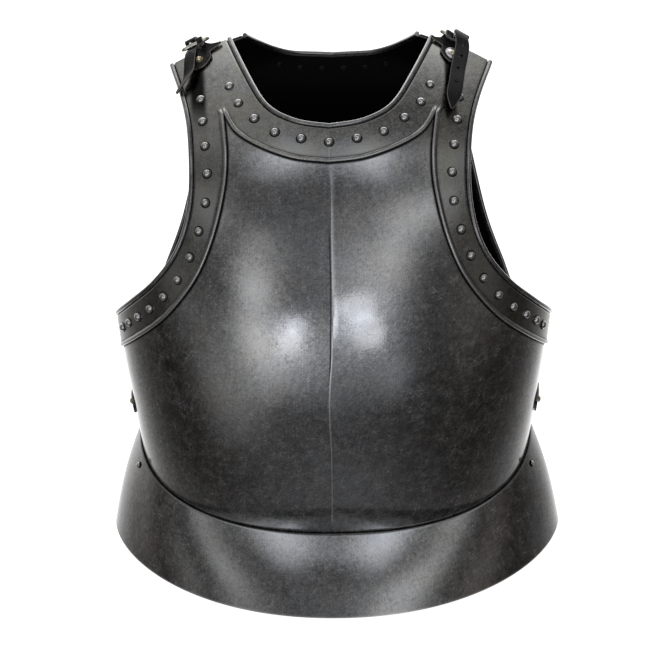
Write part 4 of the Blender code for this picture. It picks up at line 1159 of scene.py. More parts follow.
@dataclass
class Plate:
    """One half of the cuirass: a plate with its raised border and its flared lame.

    Attributes:
        word: "front" or "back".
        node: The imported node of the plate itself.
        loft: Its outer face.
        lines: The marks of the neck edge, neck bead, arm edge and arm bead.
        waist: Height of the seam at the middle and its rise at the side.
        rim: Half width, depth and tuck of the skirt's rim.
        arm_end: How far along the arm the border and the roll go.
        arm_share: The share of the field's rows that lie beside the arm.
        sizes: The sizes of the metal.
        neck_count: Columns from the rib to the neck's end.
        arm_count: Rows along the arm.
        side_count: Rows from the arm's end down to the waist.
        outlines: The lines as smooth curves.
        joins: Where along the neck edge and the arm edge the shoulder tab begins.
        columns: Places of the field's columns, from 0 at the rib.
        arm_steps: Places of the rows along the arm.
        neck: Edge and bead of the neck band, row by row.
        arm: Edge and bead of the arm band.
        tab: Neck side, middle and arm side of the shoulder tab.
    """

    word: str
    node: str
    loft: Loft
    lines: Sequence[Sequence[Mark]]
    waist: Pair
    rim: tuple[float, float, float]
    arm_end: float
    arm_share: float
    sizes: PlateSizes = field(default_factory=PlateSizes)
    neck_count: int = 64
    arm_count: int = 96
    side_count: int = 26
    outlines: list[Outline] = field(init=False)
    joins: Pair = field(init=False)
    columns: Array = field(init=False)
    arm_steps: Array = field(init=False)
    neck: Array = field(init=False)
    arm: Array = field(init=False)
    tab: Array = field(init=False)

    def __post_init__(self) -> None:
        """Set out the rows across the bands."""
        self.outlines = [Outline(self.loft, marks) for marks in self.lines]
        neck_edge, neck_bead, arm_edge, arm_bead = self.outlines
        fine = np.array(BEAD_STEPS)
        from_rib = np.array(RIB_COLUMNS) * MM
        beside_rib = np.degrees(np.arcsin((from_rib / 0.2) ** (BODY_POWER / 2))) / 90
        even = np.linspace(0, 1, self.neck_count + 1)[1:-2]
        self.columns = np.concatenate([beside_rib, even, 1 - fine[::-1] * 1.6, [1.0]])
        self.arm_steps = np.concatenate([[0.0], fine * 1.2, np.linspace(0, 1, self.arm_count + 1)[2:]])
        top = neck_bead.at(np.array(1.0))
        apex = self.loft.face(*top)
        self.joins = (neck_edge.nearest(apex), arm_edge.nearest(apex))
        neck_join, arm_join = self.joins
        self.neck = np.stack([neck_edge.at(neck_join * self.columns), neck_bead.at(self.columns)], axis=1)
        along = arm_join + (1 - arm_join) * self.arm_steps
        self.arm = np.stack([arm_edge.at(along), arm_bead.at(self.arm_steps)], axis=1)
        steps = np.array(TAB_STEPS)
        middle = (neck_edge.at(np.array(1.0)) + arm_edge.at(np.array(0.0))) / 2
        self.tab = np.stack([
            neck_edge.at(neck_join + (1 - neck_join) * steps),
            top + (middle - top) * steps[:, None],
            arm_edge.at(arm_join * (1 - steps)),
        ], axis=1)

    def waist_height(self, angle: Array) -> Array:
        """The height of the waist seam at an angle."""
        middle, rise = self.waist
        return middle + rise * (1 - np.cos(np.radians(angle))) ** self.sizes.waist_power

    def across(self, edge: Array, bead: Array, fractions: Array, offsets: Array) -> Array:
        """Angle and height rows across a band.

        Args:
            edge: One pair for each row, at the plate's edge.
            bead: One pair for each row, at the bead.
            fractions: The way across, from 0 at the edge to 1 at the bead.
            offsets: A distance added to each, in metres.

        Returns:
            Rows by places of pairs.
        """
        width = np.linalg.norm(self.loft.face(*bead.T) - self.loft.face(*edge.T), axis=-1)
        way = fractions[None, :] + offsets[None, :] / width[:, None]
        return edge[:, None, :] + (bead - edge)[:, None, :] * way[..., None]

    def bands(self, fractions: Array, offsets: Array) -> tuple[Array, Array, Array]:
        """Rows of pairs across the bands.

        Args:
            fractions: The way across, from 0 at the edge to 1 at the bead.
            offsets: A distance added to each, in metres.

        Returns:
            The rows of the neck band, the arm band and the shoulder tab.
        """
        neck = self.across(self.neck[:, 0], self.neck[:, 1], fractions, offsets)
        arm = self.across(self.arm[:, 0], self.arm[:, 1], fractions, offsets)
        inner = self.across(self.tab[:, 0], self.tab[:, 1], fractions, offsets)
        outer = self.across(self.tab[:, 2], self.tab[:, 1], fractions, offsets)
        return neck, arm, np.concatenate([inner, outer[:, -2::-1]], axis=1)

    def field_pairs(self) -> Array:
        """The field inside the beads, from the neck down to the waist.

        Returns:
            Rows by columns of pairs.
        """
        top = self.neck[:, 1]
        side_top = self.arm[-1, 1]
        side_foot = np.array([90.0, float(self.waist_height(90.0))])
        steps = np.linspace(0, 1, self.side_count + 1)[1:]
        steps = np.concatenate([steps[:-1], [1 - 0.5 / self.side_count, 1 - 0.2 / self.side_count, 1.0]])
        right = np.concatenate([self.arm[:, 1], side_top + (side_foot - side_top) * steps[:, None]])
        beside_arm, below_arm = self.arm_steps * self.arm_share, self.arm_share + (1 - self.arm_share) * steps
        v = np.concatenate([beside_arm, below_arm])[:, None, None]
        u = self.columns[None, :, None]
        angles = 90.0 * self.columns
        bottom = np.stack([angles, self.waist_height(angles)], axis=-1)[None]
        left = top[0] + (bottom[0, 0] - top[0]) * v
        down = top[None] + (bottom - top[None]) * v
        cross = left + (right[:, None] - left) * u
        upper = top[0] + (top[-1] - top[0]) * u
        lower = bottom[0, 0] + (bottom[0, -1] - bottom[0, 0]) * u
        return down + cross - (upper + (lower - upper) * v)

    def rim_point(self, angle: Array) -> Array:
        """The skirt's rim, on z = 0.

        Args:
            angle: Degrees round the body.

        Returns:
            Points, with x, y and z on the last axis.
        """
        half_width, depth, tuck = self.rim
        turn = np.radians(np.abs(angle))
        across = half_width * np.sin(turn) ** (2 / RIM_POWER_ACROSS)
        deep = (depth + tuck) * np.maximum(np.cos(turn), 0.0) ** (2 / RIM_POWER_DEEP) - tuck
        return np.stack(
            [np.sign(angle) * across, self.loft.facing * deep + DEPTH_SHIFT, np.zeros_like(across)], axis=-1,
        )

    def skirt(self, angle: Array) -> tuple[Array, Array, Array, Array]:
        """The lines that the lame hangs between.

        Args:
            angle: Degrees round the body.

        Returns:
            The seam, the rim, the way down between them and the lame's outward normal.
        """
        angle = np.asarray(angle, float)
        seam = self.loft.point(angle, self.waist_height(angle))
        foot = self.rim_point(angle)
        down = unit(foot - seam)
        around = self.rim_point(np.minimum(angle + 1, 90.0)) - self.rim_point(np.maximum(angle - 1, -90.0))
        return seam, foot, down, unit(np.cross(down, around)) * -self.loft.facing

    def line_distance(self, points: Array) -> Array:
        """Distances to the nearer bead.

        Args:
            points: Points of one side of the plate.

        Returns:
            A distance for each point.
        """
        steps = np.linspace(0, 1, 401)
        beads = self.outlines[1::2]
        tree = KDTree(len(beads) * len(steps))
        for k, outline in enumerate(beads):
            pairs = outline.at(steps)
            for i, point in enumerate(self.loft.point(pairs[:, 0], pairs[:, 1])):
                tree.insert(point, k * len(steps) + i)
        tree.balance()
        flat = points.reshape(-1, 3)
        return np.array([tree.find(p)[2] for p in flat]).reshape(points.shape[:-1])

    def build(self) -> list[bpy.types.Object]:
        """The plate, its border and its lame."""
        return [self.build_plate(), self.build_border(), self.build_lame()]

    def rub(self, outer: Array) -> tuple[Array, Array]:
        """Where a highlight is painted along the rib, and a dark line beside it.

        Args:
            outer: Points of the field.

        Returns:
            The painted highlight and the dark line at each point.
        """
        height = outer[..., 2]
        # The highlight painted on the rib is weaker higher up.
        faded = 1 - 0.6 * smooth(0.33, 0.38, height)
        polish = self.loft.rib(outer) / max(self.loft.rib_height, 1e-9) * faded
        darkening = np.exp(-(((self.loft.beside_rib(outer) + 0.0017) / 0.0007) ** 2)) * (self.loft.rib_height > 0)
        return 0.8 * polish, darkening * (smooth(0.20, 0.24, height) * (1 - smooth(0.33, 0.37, height)))

    def build_plate(self) -> bpy.types.Object:
        """The plate: bands, field, rolled neck and arm edges, and the waist flange.

        Returns:
            The piece.
        """
        s = self.sizes
        sheet = Sheet()
        fractions = np.array([0, 0, 0, 0.35, 0.7, 1.0])
        offsets = np.array([2 * s.roll, 2 * s.roll + 0.0006, 2 * s.roll + 0.0016, 0.0, 0.0, 0.0])
        bands = self.bands(fractions, offsets)
        # Painted shade across each band: dark at the foot of the roll, and again under the edge of the
        # border's bead.
        groove_shade = np.array([1.0, 0.9, 0.5, 0.0, 0.0, 0.6])
        pairs = self.field_pairs()
        rolls = []
        for side in Side:
            for band, kind in zip(bands, ("neck", "arm", "tab")):
                outer = self.loft.point(band[..., 0] * side.value, band[..., 1])
                inner = self.loft.point(band[..., 0] * side.value, band[..., 1], -s.sheet)
                depth = groove_shade if kind != "tab" else np.concatenate([groove_shade, groove_shade[-2::-1]])
                sheet.grid(outer, inner, depth)
                ends = round(self.arm_end * (len(outer) - 1)) if kind == "arm" else len(outer)
                rolls.append(outer[:ends, 0])
                if kind == "tab":
                    rolls.append(outer[:, -1])
            angles = pairs[..., 0] * side.value
            outer = self.loft.point(angles, pairs[..., 1])
            inner = self.loft.point(angles, pairs[..., 1], -s.sheet)
            near = self.line_distance(self.loft.point(pairs[..., 0], pairs[..., 1]))
            # Painted shade: a dark line along the border's bead, and a dark seam where the lame's top meets
            # the plate.
            crevice_shade = 1 - smooth(0.0006, 0.0020, near)
            crevice_shade[-2:] = np.maximum(crevice_shade[-2:], np.array([[0.55], [1.0]]))
            polish, darkening = self.rub(outer)
            crevice_shade = np.maximum(crevice_shade, darkening)
            belly = self.loft.normal(angles[-1], pairs[-1, :, 1])
            seam, _, down, out = self.skirt(angles[-1])
            fold = (belly + out) / (1 + (belly * out).sum(axis=-1, keepdims=True))
            inner[-1] = seam - fold * s.sheet
            outer[-1] = seam
            sheet.grid(outer, inner, crevice_shade, polish)
            end = seam + down * s.flange
            # The flange under the lame is painted in full shade.
            sheet.grid(np.stack([seam, end]), np.stack([inner[-1], end - out * s.sheet]), 1.0)
        points, faces, masks = sheet.close(np.concatenate(rolls), s.roll)
        return add_piece(f"{self.word}_plate_metal", points, faces, Slot.PLATE, [self.node], masks)

    def build_border(self) -> bpy.types.Object:
        """The raised border over the bands, with a bead along its inner edge.

        Returns:
            The piece.
        """
        s = self.sizes
        start, width = 2 * s.roll + 1.2 * s.gap, s.bead_width
        # Across the border, painted shade darkens the outer edge and both feet of the bead, and painted
        # highlight lightens the outer edge's rounding and the bead's crest.
        profile = np.array([
            Across(0, start, -0.9, 0.9, 0.0),
            Across(0, start + 0.00025, -0.35, 0.3, 0.2),
            Across(0, start + 0.0008, 0.0, 0.0, 0.2),
            Across(0, start + 0.0022, 0.0, 0.0, 0.0),
            Across(0.36, 0, 0.0, 0.0, 0.0),
            Across(0.5, 0, 0.0, 0.0, 0.0),
            Across(0.64, 0, 0.0, 0.0, 0.0),
            Across(1, -width - 0.0022, 0.0, 0.0, 0.0),
            Across(1, -width - 0.0007, 0.0, 0.2, 0.0),
            Across(1, -width, -0.05, 0.65, 0.0),
            Across(1, -width * 0.88, 0.45, 0.25, 0.05),
            Across(1, -width * 0.72, 0.85, 0.0, 0.1),
            Across(1, -width * 0.50, 1.2, 0.0, 0.25),
            Across(1, -width * 0.30, 1.3, 0.0, 0.5),
            Across(1, -width * 0.14, 1.1, 0.0, 0.6),
            Across(1, -width * 0.04, 0.7, 0.1, 0.4),
            Across(1, 0, 0.1, 0.9, 0.0),
        ])
        fractions, offsets = profile[:, 0], profile[:, 1]
        bands = self.bands(fractions, offsets)
        sheet = Sheet()
        for side in Side:
            for band, kind in zip(bands, ("neck", "arm", "tab")):
                if kind == "tab":
                    ending = 1 - smooth(0.0, 0.10, TAB_STEPS)
                    fade = np.where(offsets < -0.0001, ending[:, None], 1.0)
                    fade[:, -1] = ending
                    parts = [profile[:, k] * fade for k in (2, 3, 4)]
                    lifts, groove_shades, shines = (np.concatenate([p, p[:, -2::-1]], axis=1) for p in parts)
                    rows = band
                else:
                    last = round(self.arm_end * (len(band) - 1)) + 1 if kind == "arm" else len(band)
                    rows = band[:last]
                    shape = rows.shape[:2]
                    lifts, groove_shades, shines = (np.broadcast_to(profile[:, k], shape) for k in (2, 3, 4))
                angles = rows[..., 0] * side.value
                outer = self.loft.point(angles, rows[..., 1], s.gap + s.trim + lifts * MM)
                inner = self.loft.point(angles, rows[..., 1], np.full(rows.shape[:2], s.gap))
                sheet.grid(outer, inner, groove_shades, shines)
        points, faces, masks = sheet.close()
        node = f"{self.word}_border"
        return add_piece(f"{node}_metal", points, faces, Slot.BORDER, [node], masks)

    def build_lame(self) -> bpy.types.Object:
        """The flared skirt lame from the waist seam to the rim.

        Returns:
            The piece.
        """
        s = self.sizes
        angles = np.linspace(-90, 90, 161)
        seam, foot, down, out = self.skirt(angles)
        start = seam + down * s.lame_start + out * s.gap
        level = unit(out * np.array([1, 1, 0]))
        inner_foot = foot - level * (s.sheet / np.hypot(out[:, 0], out[:, 1]))[:, None]
        top, rim = [0, 0.006, 0.014, 0.03], [0.965, 0.98, 0.992, 1.0]
        steps = np.concatenate([top, np.linspace(0.06, 0.94, 24), rim])
        outer, inner = [], []
        for step in steps:
            bulge = out * s.lame_bulge * math.sin(math.pi * step)
            rounding = 0.45 * MM * (1 - smooth(0, 0.012, step))
            outer.append((start + out * s.sheet) * (1 - step) + foot * step + bulge - out * rounding)
            inner.append(start * (1 - step) + inner_foot * step + bulge)
        sheet = Sheet()
        # Painted shade at the lame's top, where it meets the plate, and painted highlights along its top edge
        # and its rim.
        crevice_shade = np.maximum(1 - smooth(0.0, 0.02, steps), 0)[:, None]
        polish = (smooth(0.975, 0.998, steps) + 0.6 * (1 - smooth(0.005, 0.03, steps)))[:, None]
        sheet.grid(np.array(outer), np.array(inner), crevice_shade * 0.6, polish)
        points, faces, masks = sheet.close()
        node = f"{self.word}_fauld"
        return add_piece(f"{node}_metal", points, faces, Slot.PLATE, [node], masks)


# ---------------------------------------------------------------- rivets

@dataclass(frozen=True)
class RivetStyle:
    """A domed rivet head: radius and height of the dome, and how many sides it has."""

    radius: float
    height: float
    sides: int = 24

    def shape(self, centre: Array, axis: Array, chance: np.random.Generator) -> tuple[Array, list, Array]:
        """One head, a little out of true.

        Args:
            centre: The middle of the foot.
            axis: The way it stands.
            chance: Where its small faults come from.

        Returns:
            Points, faces and the mask of the shade painted round its foot.
        """
        up = unit(axis + chance.normal(0, 0.03, 3))
        across = unit(np.cross(up, (0.3, 0.1, 0.95)))
        side = np.cross(up, across)
        radius = self.radius * chance.uniform(0.95, 1.03)
        height = self.height * chance.uniform(0.92, 1.04)
        flat = chance.uniform(0.0, 0.12)
        turns = np.arange(self.sides) * 2 * math.pi / self.sides
        ring = across * np.cos(turns)[:, None] + side * np.sin(turns)[:, None]
        points = [
            centre + up * height * (level.rise - flat * level.dent) + ring * radius * level.spread
            for level in DOME
        ]
        depth = np.repeat([level.darkening for level in DOME], self.sides)
        n = self.sides
        faces = [
            (k * n + i, k * n + (i + 1) % n, (k + 1) * n + (i + 1) % n, (k + 1) * n + i)
            for k in range(len(DOME) - 1) for i in range(n)
        ]
        faces += [tuple(reversed(range(n))), tuple((len(DOME) - 1) * n + i for i in range(n))]
        return np.concatenate(points), faces, depth


def joined(shapes: Iterable[tuple]) -> tuple[Array, list, Array]:
    """Several shapes as one.

    Args:
        shapes: (points, faces, mask) of each.

    Returns:
        The points, faces and mask of all.
    """
    points, faces, masks, start = [], [], [], 0
    for more_points, more_faces, mask in shapes:
        points.append(more_points)
        faces += [tuple(start + i for i in face) for face in more_faces]
        masks.append(mask)
        start += len(more_points)
    return np.concatenate(points), faces, np.concatenate(masks)


@dataclass
class Studs:
    """All the rivets of the two borders and the two lames."""

    front: Plate
    back: Plate
    border: RivetStyle = RivetStyle(0.0038, 0.0036)
    back_border: RivetStyle = RivetStyle(0.0037, 0.0030)
    lame: RivetStyle = RivetStyle(0.0026, 0.0018)
    tail: RivetStyle = RivetStyle(0.0034, 0.0014, 14)
    lame_angle: float = 75.0
    lame_drop: float = 0.012
    neck_count: int = 6
    arm_count: int = 13
    crowding: float = 0.14
    seed: int = 5

    def build(self) -> list[bpy.types.Object]:
        """The heads on the borders and lames, and the flat tails inside.

        Returns:
            The pieces.
        """
        chance = np.random.default_rng(self.seed)
        lines = (
            ("neck", 0, self.row(FRONT_NECK_RIVETS, self.neck_count)),
            ("arm", 1, self.row(FRONT_ARM_RIVETS, self.arm_count, self.crowding)),
        )
        fronts, nodes = [], []
        for line, first, rows in lines:
            for i, (angle, height) in enumerate(rows, first):
                for side in Side if i else (Side.LEFT,):
                    nodes.append(f"{line}_rivet_{side.word}_{i}" if i else f"{line}_rivet_middle")
                    fronts.append(self.stud(self.front.loft, side.value * angle, height, self.border, chance))
        backs = [
            self.stud(self.back.loft, side.value * angle, height, self.back_border, chance)
            for angle, height in self.back_places() for side in Side
        ]
        lames = [self.lame_head(plate, side, chance) for plate in (self.front, self.back) for side in Side]
        made = []
        for name, shapes, stands_for, shade in (
            ("border_rivets", [head for head, _ in fronts], nodes, 0.0),
            ("back_border_rivets", [head for head, _ in backs], (), 0.0),
            ("rivet_tails", [tail for _, tail in fronts + backs], (), TAIL_SHADE),
            ("fauld_rivets", lames, (), 0.0),
        ):
            points, faces, mask = joined(shapes)
            masks = {"crevice_shade": mask}
            if shade:
                masks["inside"] = np.full(len(mask), shade)
            made.append(add_piece(name, points, faces, Slot.RIVET, stands_for, masks))
        return made

    def row(self, marks: Sequence[Mark], count: int, crowding: float = 0.0) -> Array:
        """Angle and height rows of rivets along a line of the front border.

        Args:
            marks: The line's marks.
            count: How many rivets stand on it.
            crowding: How much closer they stand toward its far end.

        Returns:
            An angle and a height for each rivet.
        """
        shares = np.linspace(0.0, 1.0, count)
        return Outline(self.front.loft, marks).at(shares + crowding * shares * (1 - shares))

    def back_places(self) -> list[Array]:
        """Where the back border's rivets sit on one side.

        Returns:
            An angle and a height for each rivet.
        """
        neck_edge, neck_bead, arm_edge, arm_bead = self.back.outlines
        neck_join, arm_join = self.back.joins
        places = [
            (neck_edge.at(np.array(neck_join * i / 8)) + neck_bead.at(np.array(i / 8))) / 2 for i in (1, 3, 5)
        ]
        for i in range(1, 10):
            edge = arm_edge.at(np.array(arm_join + (1 - arm_join) * i / 11))
            places.append((edge + arm_bead.at(np.array(i / 11))) / 2)
        return places

    def stud(
        self, loft: Loft, angle: float, height: float, style: RivetStyle, chance: np.random.Generator,
    ) -> tuple[tuple, tuple]:
        """A rivet through a border and its plate.

        Args:
            loft: The plate's face.
            angle: Degrees round the body.
            height: Height on the middle section.
            style: The head.
            chance: Where the small faults come from.

        Returns:
            The shapes of the head and of the tail.
        """
        sizes, axis = self.front.sizes, loft.normal(angle, height)
        head = style.shape(loft.point(angle, height, sizes.gap + sizes.trim), axis, chance)
        return head, self.tail.shape(loft.point(angle, height, -sizes.sheet), -axis, chance)

    def lame_head(self, plate: Plate, side: Side, chance: np.random.Generator) -> tuple[Array, list, Array]:
        """A rivet head near the end of a lame.

        Args:
            plate: The plate that the lame hangs from.
            side: Which end.
            chance: Where the small faults come from.

        Returns:
            Its points, faces and mask.
        """
        sizes = plate.sizes
        seam, _, down, out = (line[0] for line in plate.skirt(np.array([side.value * self.lame_angle])))
        foot = seam + down * self.lame_drop + out * (sizes.gap + sizes.sheet + 0.5 * sizes.lame_bulge)
        return self.lame.shape(foot, out, chance)


# ---------------------------------------------------------------- leather and buckles

def laid(
    loft: Loft, rows: Sequence[Laid], side: int, start: float = 0.0, goes_round: bool = False,
) -> list[Station]:
    """Stations of a strap that lies on a plate.

    Args:
        loft: The plate's face.
        rows: The strap's table.
        side: The sign of x.
        start: An angle added to each row's.
        goes_round: Whether the strap runs round the body, not up it.

    Returns:
        The stations.
    """
    stations = []
    for row in rows:
        angle, height = side * (start + row.angle), row.height
        across = loft.upward(angle, height) if goes_round else loft.sideways(angle, height)
        stations.append(Station(loft.point(angle, height, row.lift * MM), unit(across), row.width * MM))
    return stations


def hung(rows: Sequence[Hung]) -> list[Station]:
    """Stations of a strap in the air.

    Args:
        rows: The strap's table.

    Returns:
        The stations.
    """
    stations = []
    for x, y, z, tilt, turn, width in rows:
        slope, swing = math.radians(tilt), math.radians(turn)
        level = math.cos(slope)
        across = np.array([level * math.cos(swing), level * math.sin(swing), -math.sin(slope)])
        stations.append(Station(np.array([x, y, z]) * MM + (0, DEPTH_SHIFT, 0), across, width * MM))
    return stations


@dataclass(frozen=True)
class Strap:
    """A flat leather strap with rounded edges.

    Attributes:
        name: The piece's name.
        thickness: Its thickness.
        node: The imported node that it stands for.
        steps: Steps from one station to the next.
        rounding: How far its edges are rounded.
        edge_turn: Half the degrees that an edge goes round.
    """

    name: str
    thickness: float
    node: str
    steps: int = 8
    rounding: float = 0.0007
    edge_turn: int = 75

    def section(self) -> Array:
        """The points round a strap's cross line.

        Returns:
            For each point the share of the half width, the distance added to it, the height off the
            middle and the mask of the cut edge.
        """
        half = self.thickness / 2
        steepest = math.sin(math.radians(self.edge_turn))
        rows = []
        for sign in (1, -1):
            for turn in range(-self.edge_turn, self.edge_turn + 1, 30):
                angle = math.radians(sign * turn)
                inward = self.rounding * math.cos(angle) - self.rounding
                rows.append((sign, sign * inward, half * math.sin(angle) / steepest, float(abs(turn) < 60)))
            rows += [(sign * share, 0.0, sign * half, 0.0) for share in (0.5, 0.0, -0.5)]
        return np.array(rows)

    def shape(self, stations: Sequence[Station]) -> tuple[Array, list, Array]:
        """The strap through its stations.

        Args:
            stations: The stations.

        Returns:
            Points, faces and the mask of the cut edge.
        """
        packed = np.array([[*s.point, *s.across, s.width] for s in stations])
        fine = catmull(packed, self.steps)
        points = fine[:, :3]
        runs = np.gradient(points, axis=0)
        across = unit(fine[:, 3:6])
        up = unit(np.cross(across, runs))
        section = self.section()
        count = len(section)
        rings, masks = [], []
        for p, a, u, width in zip(points, across, up, fine[:, 6]):
            reach = section[:, 0] * width / 2 + section[:, 1]
            rings.append(p + a * reach[:, None] + u * section[:, 2:3])
            masks.append(section[:, 3])
        faces = []
        for i in range(len(rings) - 1):
            for k in range(count):
                a, b = i * count + k, i * count + (k + 1) % count
                faces.append((a, b, b + count, a + count))
        faces.append(tuple(reversed(range(count))))
        faces.append(tuple((len(rings) - 1) * count + k for k in range(count)))
        return np.concatenate(rings), faces, np.concatenate(masks)

    def build(self, stations: Sequence[Station]) -> bpy.types.Object:
        """The strap as a piece."""
        points, faces, mask = self.shape(stations)
        return add_piece(self.name, points, faces, Slot.LEATHER, [self.node], {"cut_edge": mask}, 50.0)


def tube(path: Array, radii: Array, sides: int, flat: Array, closed: bool) -> tuple[Array, list, Array]:
    """A round wire along a path.

    Args:
        path: Points of its middle line.
        radii: Its radius at each point.
        sides: Points round the wire.
        flat: A direction across the path that steers the first point of each ring.
        closed: Whether the wire runs back into itself.

    Returns:
        Points, faces and a mask of zeros.
    """
    count = len(path)
    if closed:
        runs = unit(np.roll(path, -1, axis=0) - np.roll(path, 1, axis=0))
    else:
        runs = unit(np.gradient(path, axis=0))
    out = unit(np.cross(runs, flat))
    up = unit(np.cross(out, runs))
    turns = np.arange(sides) * 2 * math.pi / sides
    ring = out[:, None] * np.cos(turns)[None, :, None] + up[:, None] * np.sin(turns)[None, :, None]
    points = (path[:, None] + ring * np.asarray(radii)[:, None, None]).reshape(-1, 3)
    faces = []
    for i in range(count if closed else count - 1):
        j = (i + 1) % count
        for k in range(sides):
            m = (k + 1) % sides
            faces.append((i * sides + k, i * sides + m, j * sides + m, j * sides + k))
    if not closed:
        faces.append(tuple(reversed(range(sides))))
        faces.append(tuple((count - 1) * sides + k for k in range(sides)))
    return points, faces, np.zeros(len(points))


@dataclass
class Buckle:
    """A wire frame with its prong.

    Attributes:
        name: The piece's name.
        node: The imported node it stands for.
        centre: The middle of the frame.
        across: The way its bars run.
        ahead: The way from the heel bar to the front bar.
        width: Length of the bars.
        length: Distance between the bars.
        offset: How far the prong sits off the middle.
        wire: Radius of the frame's wire.
        prong: Radius of the prong.
        corner: Radius of the frame's corners.
    """

    name: str
    node: str
    centre: Array
    across: Array
    ahead: Array
    width: float
    length: float
    offset: float = 0.0
    wire: float = 0.0018
    prong: float = 0.0012
    corner: float = 0.0045

    def at(self, aside: float, ahead: float, up: float) -> Array:
        """A point set out from the frame's middle, in metres."""
        rise = unit(np.cross(self.across, self.ahead))
        return self.centre + self.across * aside + self.ahead * ahead + rise * up

    def framed(self, rows: Sequence[Framed]) -> list[Station]:
        """Stations of a strap set out from the frame."""
        return [
            Station(self.at(row.aside * MM, row.ahead * MM, row.up * MM), self.across, row.width * MM)
            for row in rows
        ]

    def loop(self) -> Array:
        """The frame's middle line.

        Returns:
            Points round it.
        """
        points = []
        for sign_x, sign_y, start in ((1, 1, 0), (-1, 1, 90), (-1, -1, 180), (1, -1, 270)):
            for turn in np.radians(start + np.linspace(0, 90, 7)):
                points.append(self.at(
                    sign_x * (self.width / 2 - self.corner) + math.cos(turn) * self.corner,
                    sign_y * (self.length / 2 - self.corner) + math.sin(turn) * self.corner, 0.0,
                ))
        return np.array(points)

    def build(self, extra: Sequence[tuple] = ()) -> bpy.types.Object:
        """The frame, the prong and the prong's curl round the heel bar.

        Args:
            extra: Other shapes of the same piece.

        Returns:
            The piece.
        """
        rise = unit(np.cross(self.across, self.ahead))
        loop = self.loop()
        frame = tube(loop, np.full(len(loop), self.wire), 12, rise, True)
        half = self.length / 2
        rows = np.array([
            self.at(self.offset, -half, self.wire + 0.5 * self.prong),
            self.at(self.offset, -half + 0.3 * self.length, 0.9 * self.wire),
            self.at(self.offset, half - 0.25 * self.length, 0.8 * self.wire),
            self.at(self.offset, half + 0.7 * self.wire, self.wire + 0.9 * self.prong),
        ])
        path = catmull(rows, 6)
        radii = np.interp(np.linspace(0, 1, len(path)), [0, 0.7, 1], [1.0, 0.95, 0.5]) * self.prong
        tongue = tube(path, radii, 10, self.across, False)
        turns = np.linspace(0, 2 * math.pi, 16, endpoint=False)
        reach = self.wire + 0.6 * self.prong
        curl = [self.at(self.offset, -half + math.sin(t) * reach, math.cos(t) * reach) for t in turns]
        ring = tube(np.array(curl), np.full(len(curl), 0.75 * self.prong), 8, self.across, True)
        points, faces, mask = joined([frame, tongue, ring, *extra])
        return add_piece(self.name, points, faces, Slot.BUCKLE, [self.node], {"crevice_shade": mask}, 50.0)


def cut(target: bpy.types.Object, cutters: Sequence[tuple]) -> None:
    """Cut shapes out of a piece and keep the result as its mesh.

    Args:
        target: The piece.
        cutters: (points, faces, mask) shapes.
    """
    points, faces, _ = joined(cutters)
    mesh = filled_mesh("cutter", points, faces, {"cut_edge": np.ones(len(points))})
    tool = bpy.data.objects.new("cutter", mesh)
    bpy.context.scene.collection.objects.link(tool)
    modifier = target.modifiers.new("cut", "BOOLEAN")
    modifier.operation = "DIFFERENCE"
    modifier.solver = "EXACT"
    modifier.object = tool
    bpy.context.view_layer.update()
    result = bpy.data.meshes.new_from_object(target.evaluated_get(bpy.context.evaluated_depsgraph_get()))
    target.modifiers.clear()
    target.data = result
    bpy.data.objects.remove(tool, do_unlink=True)


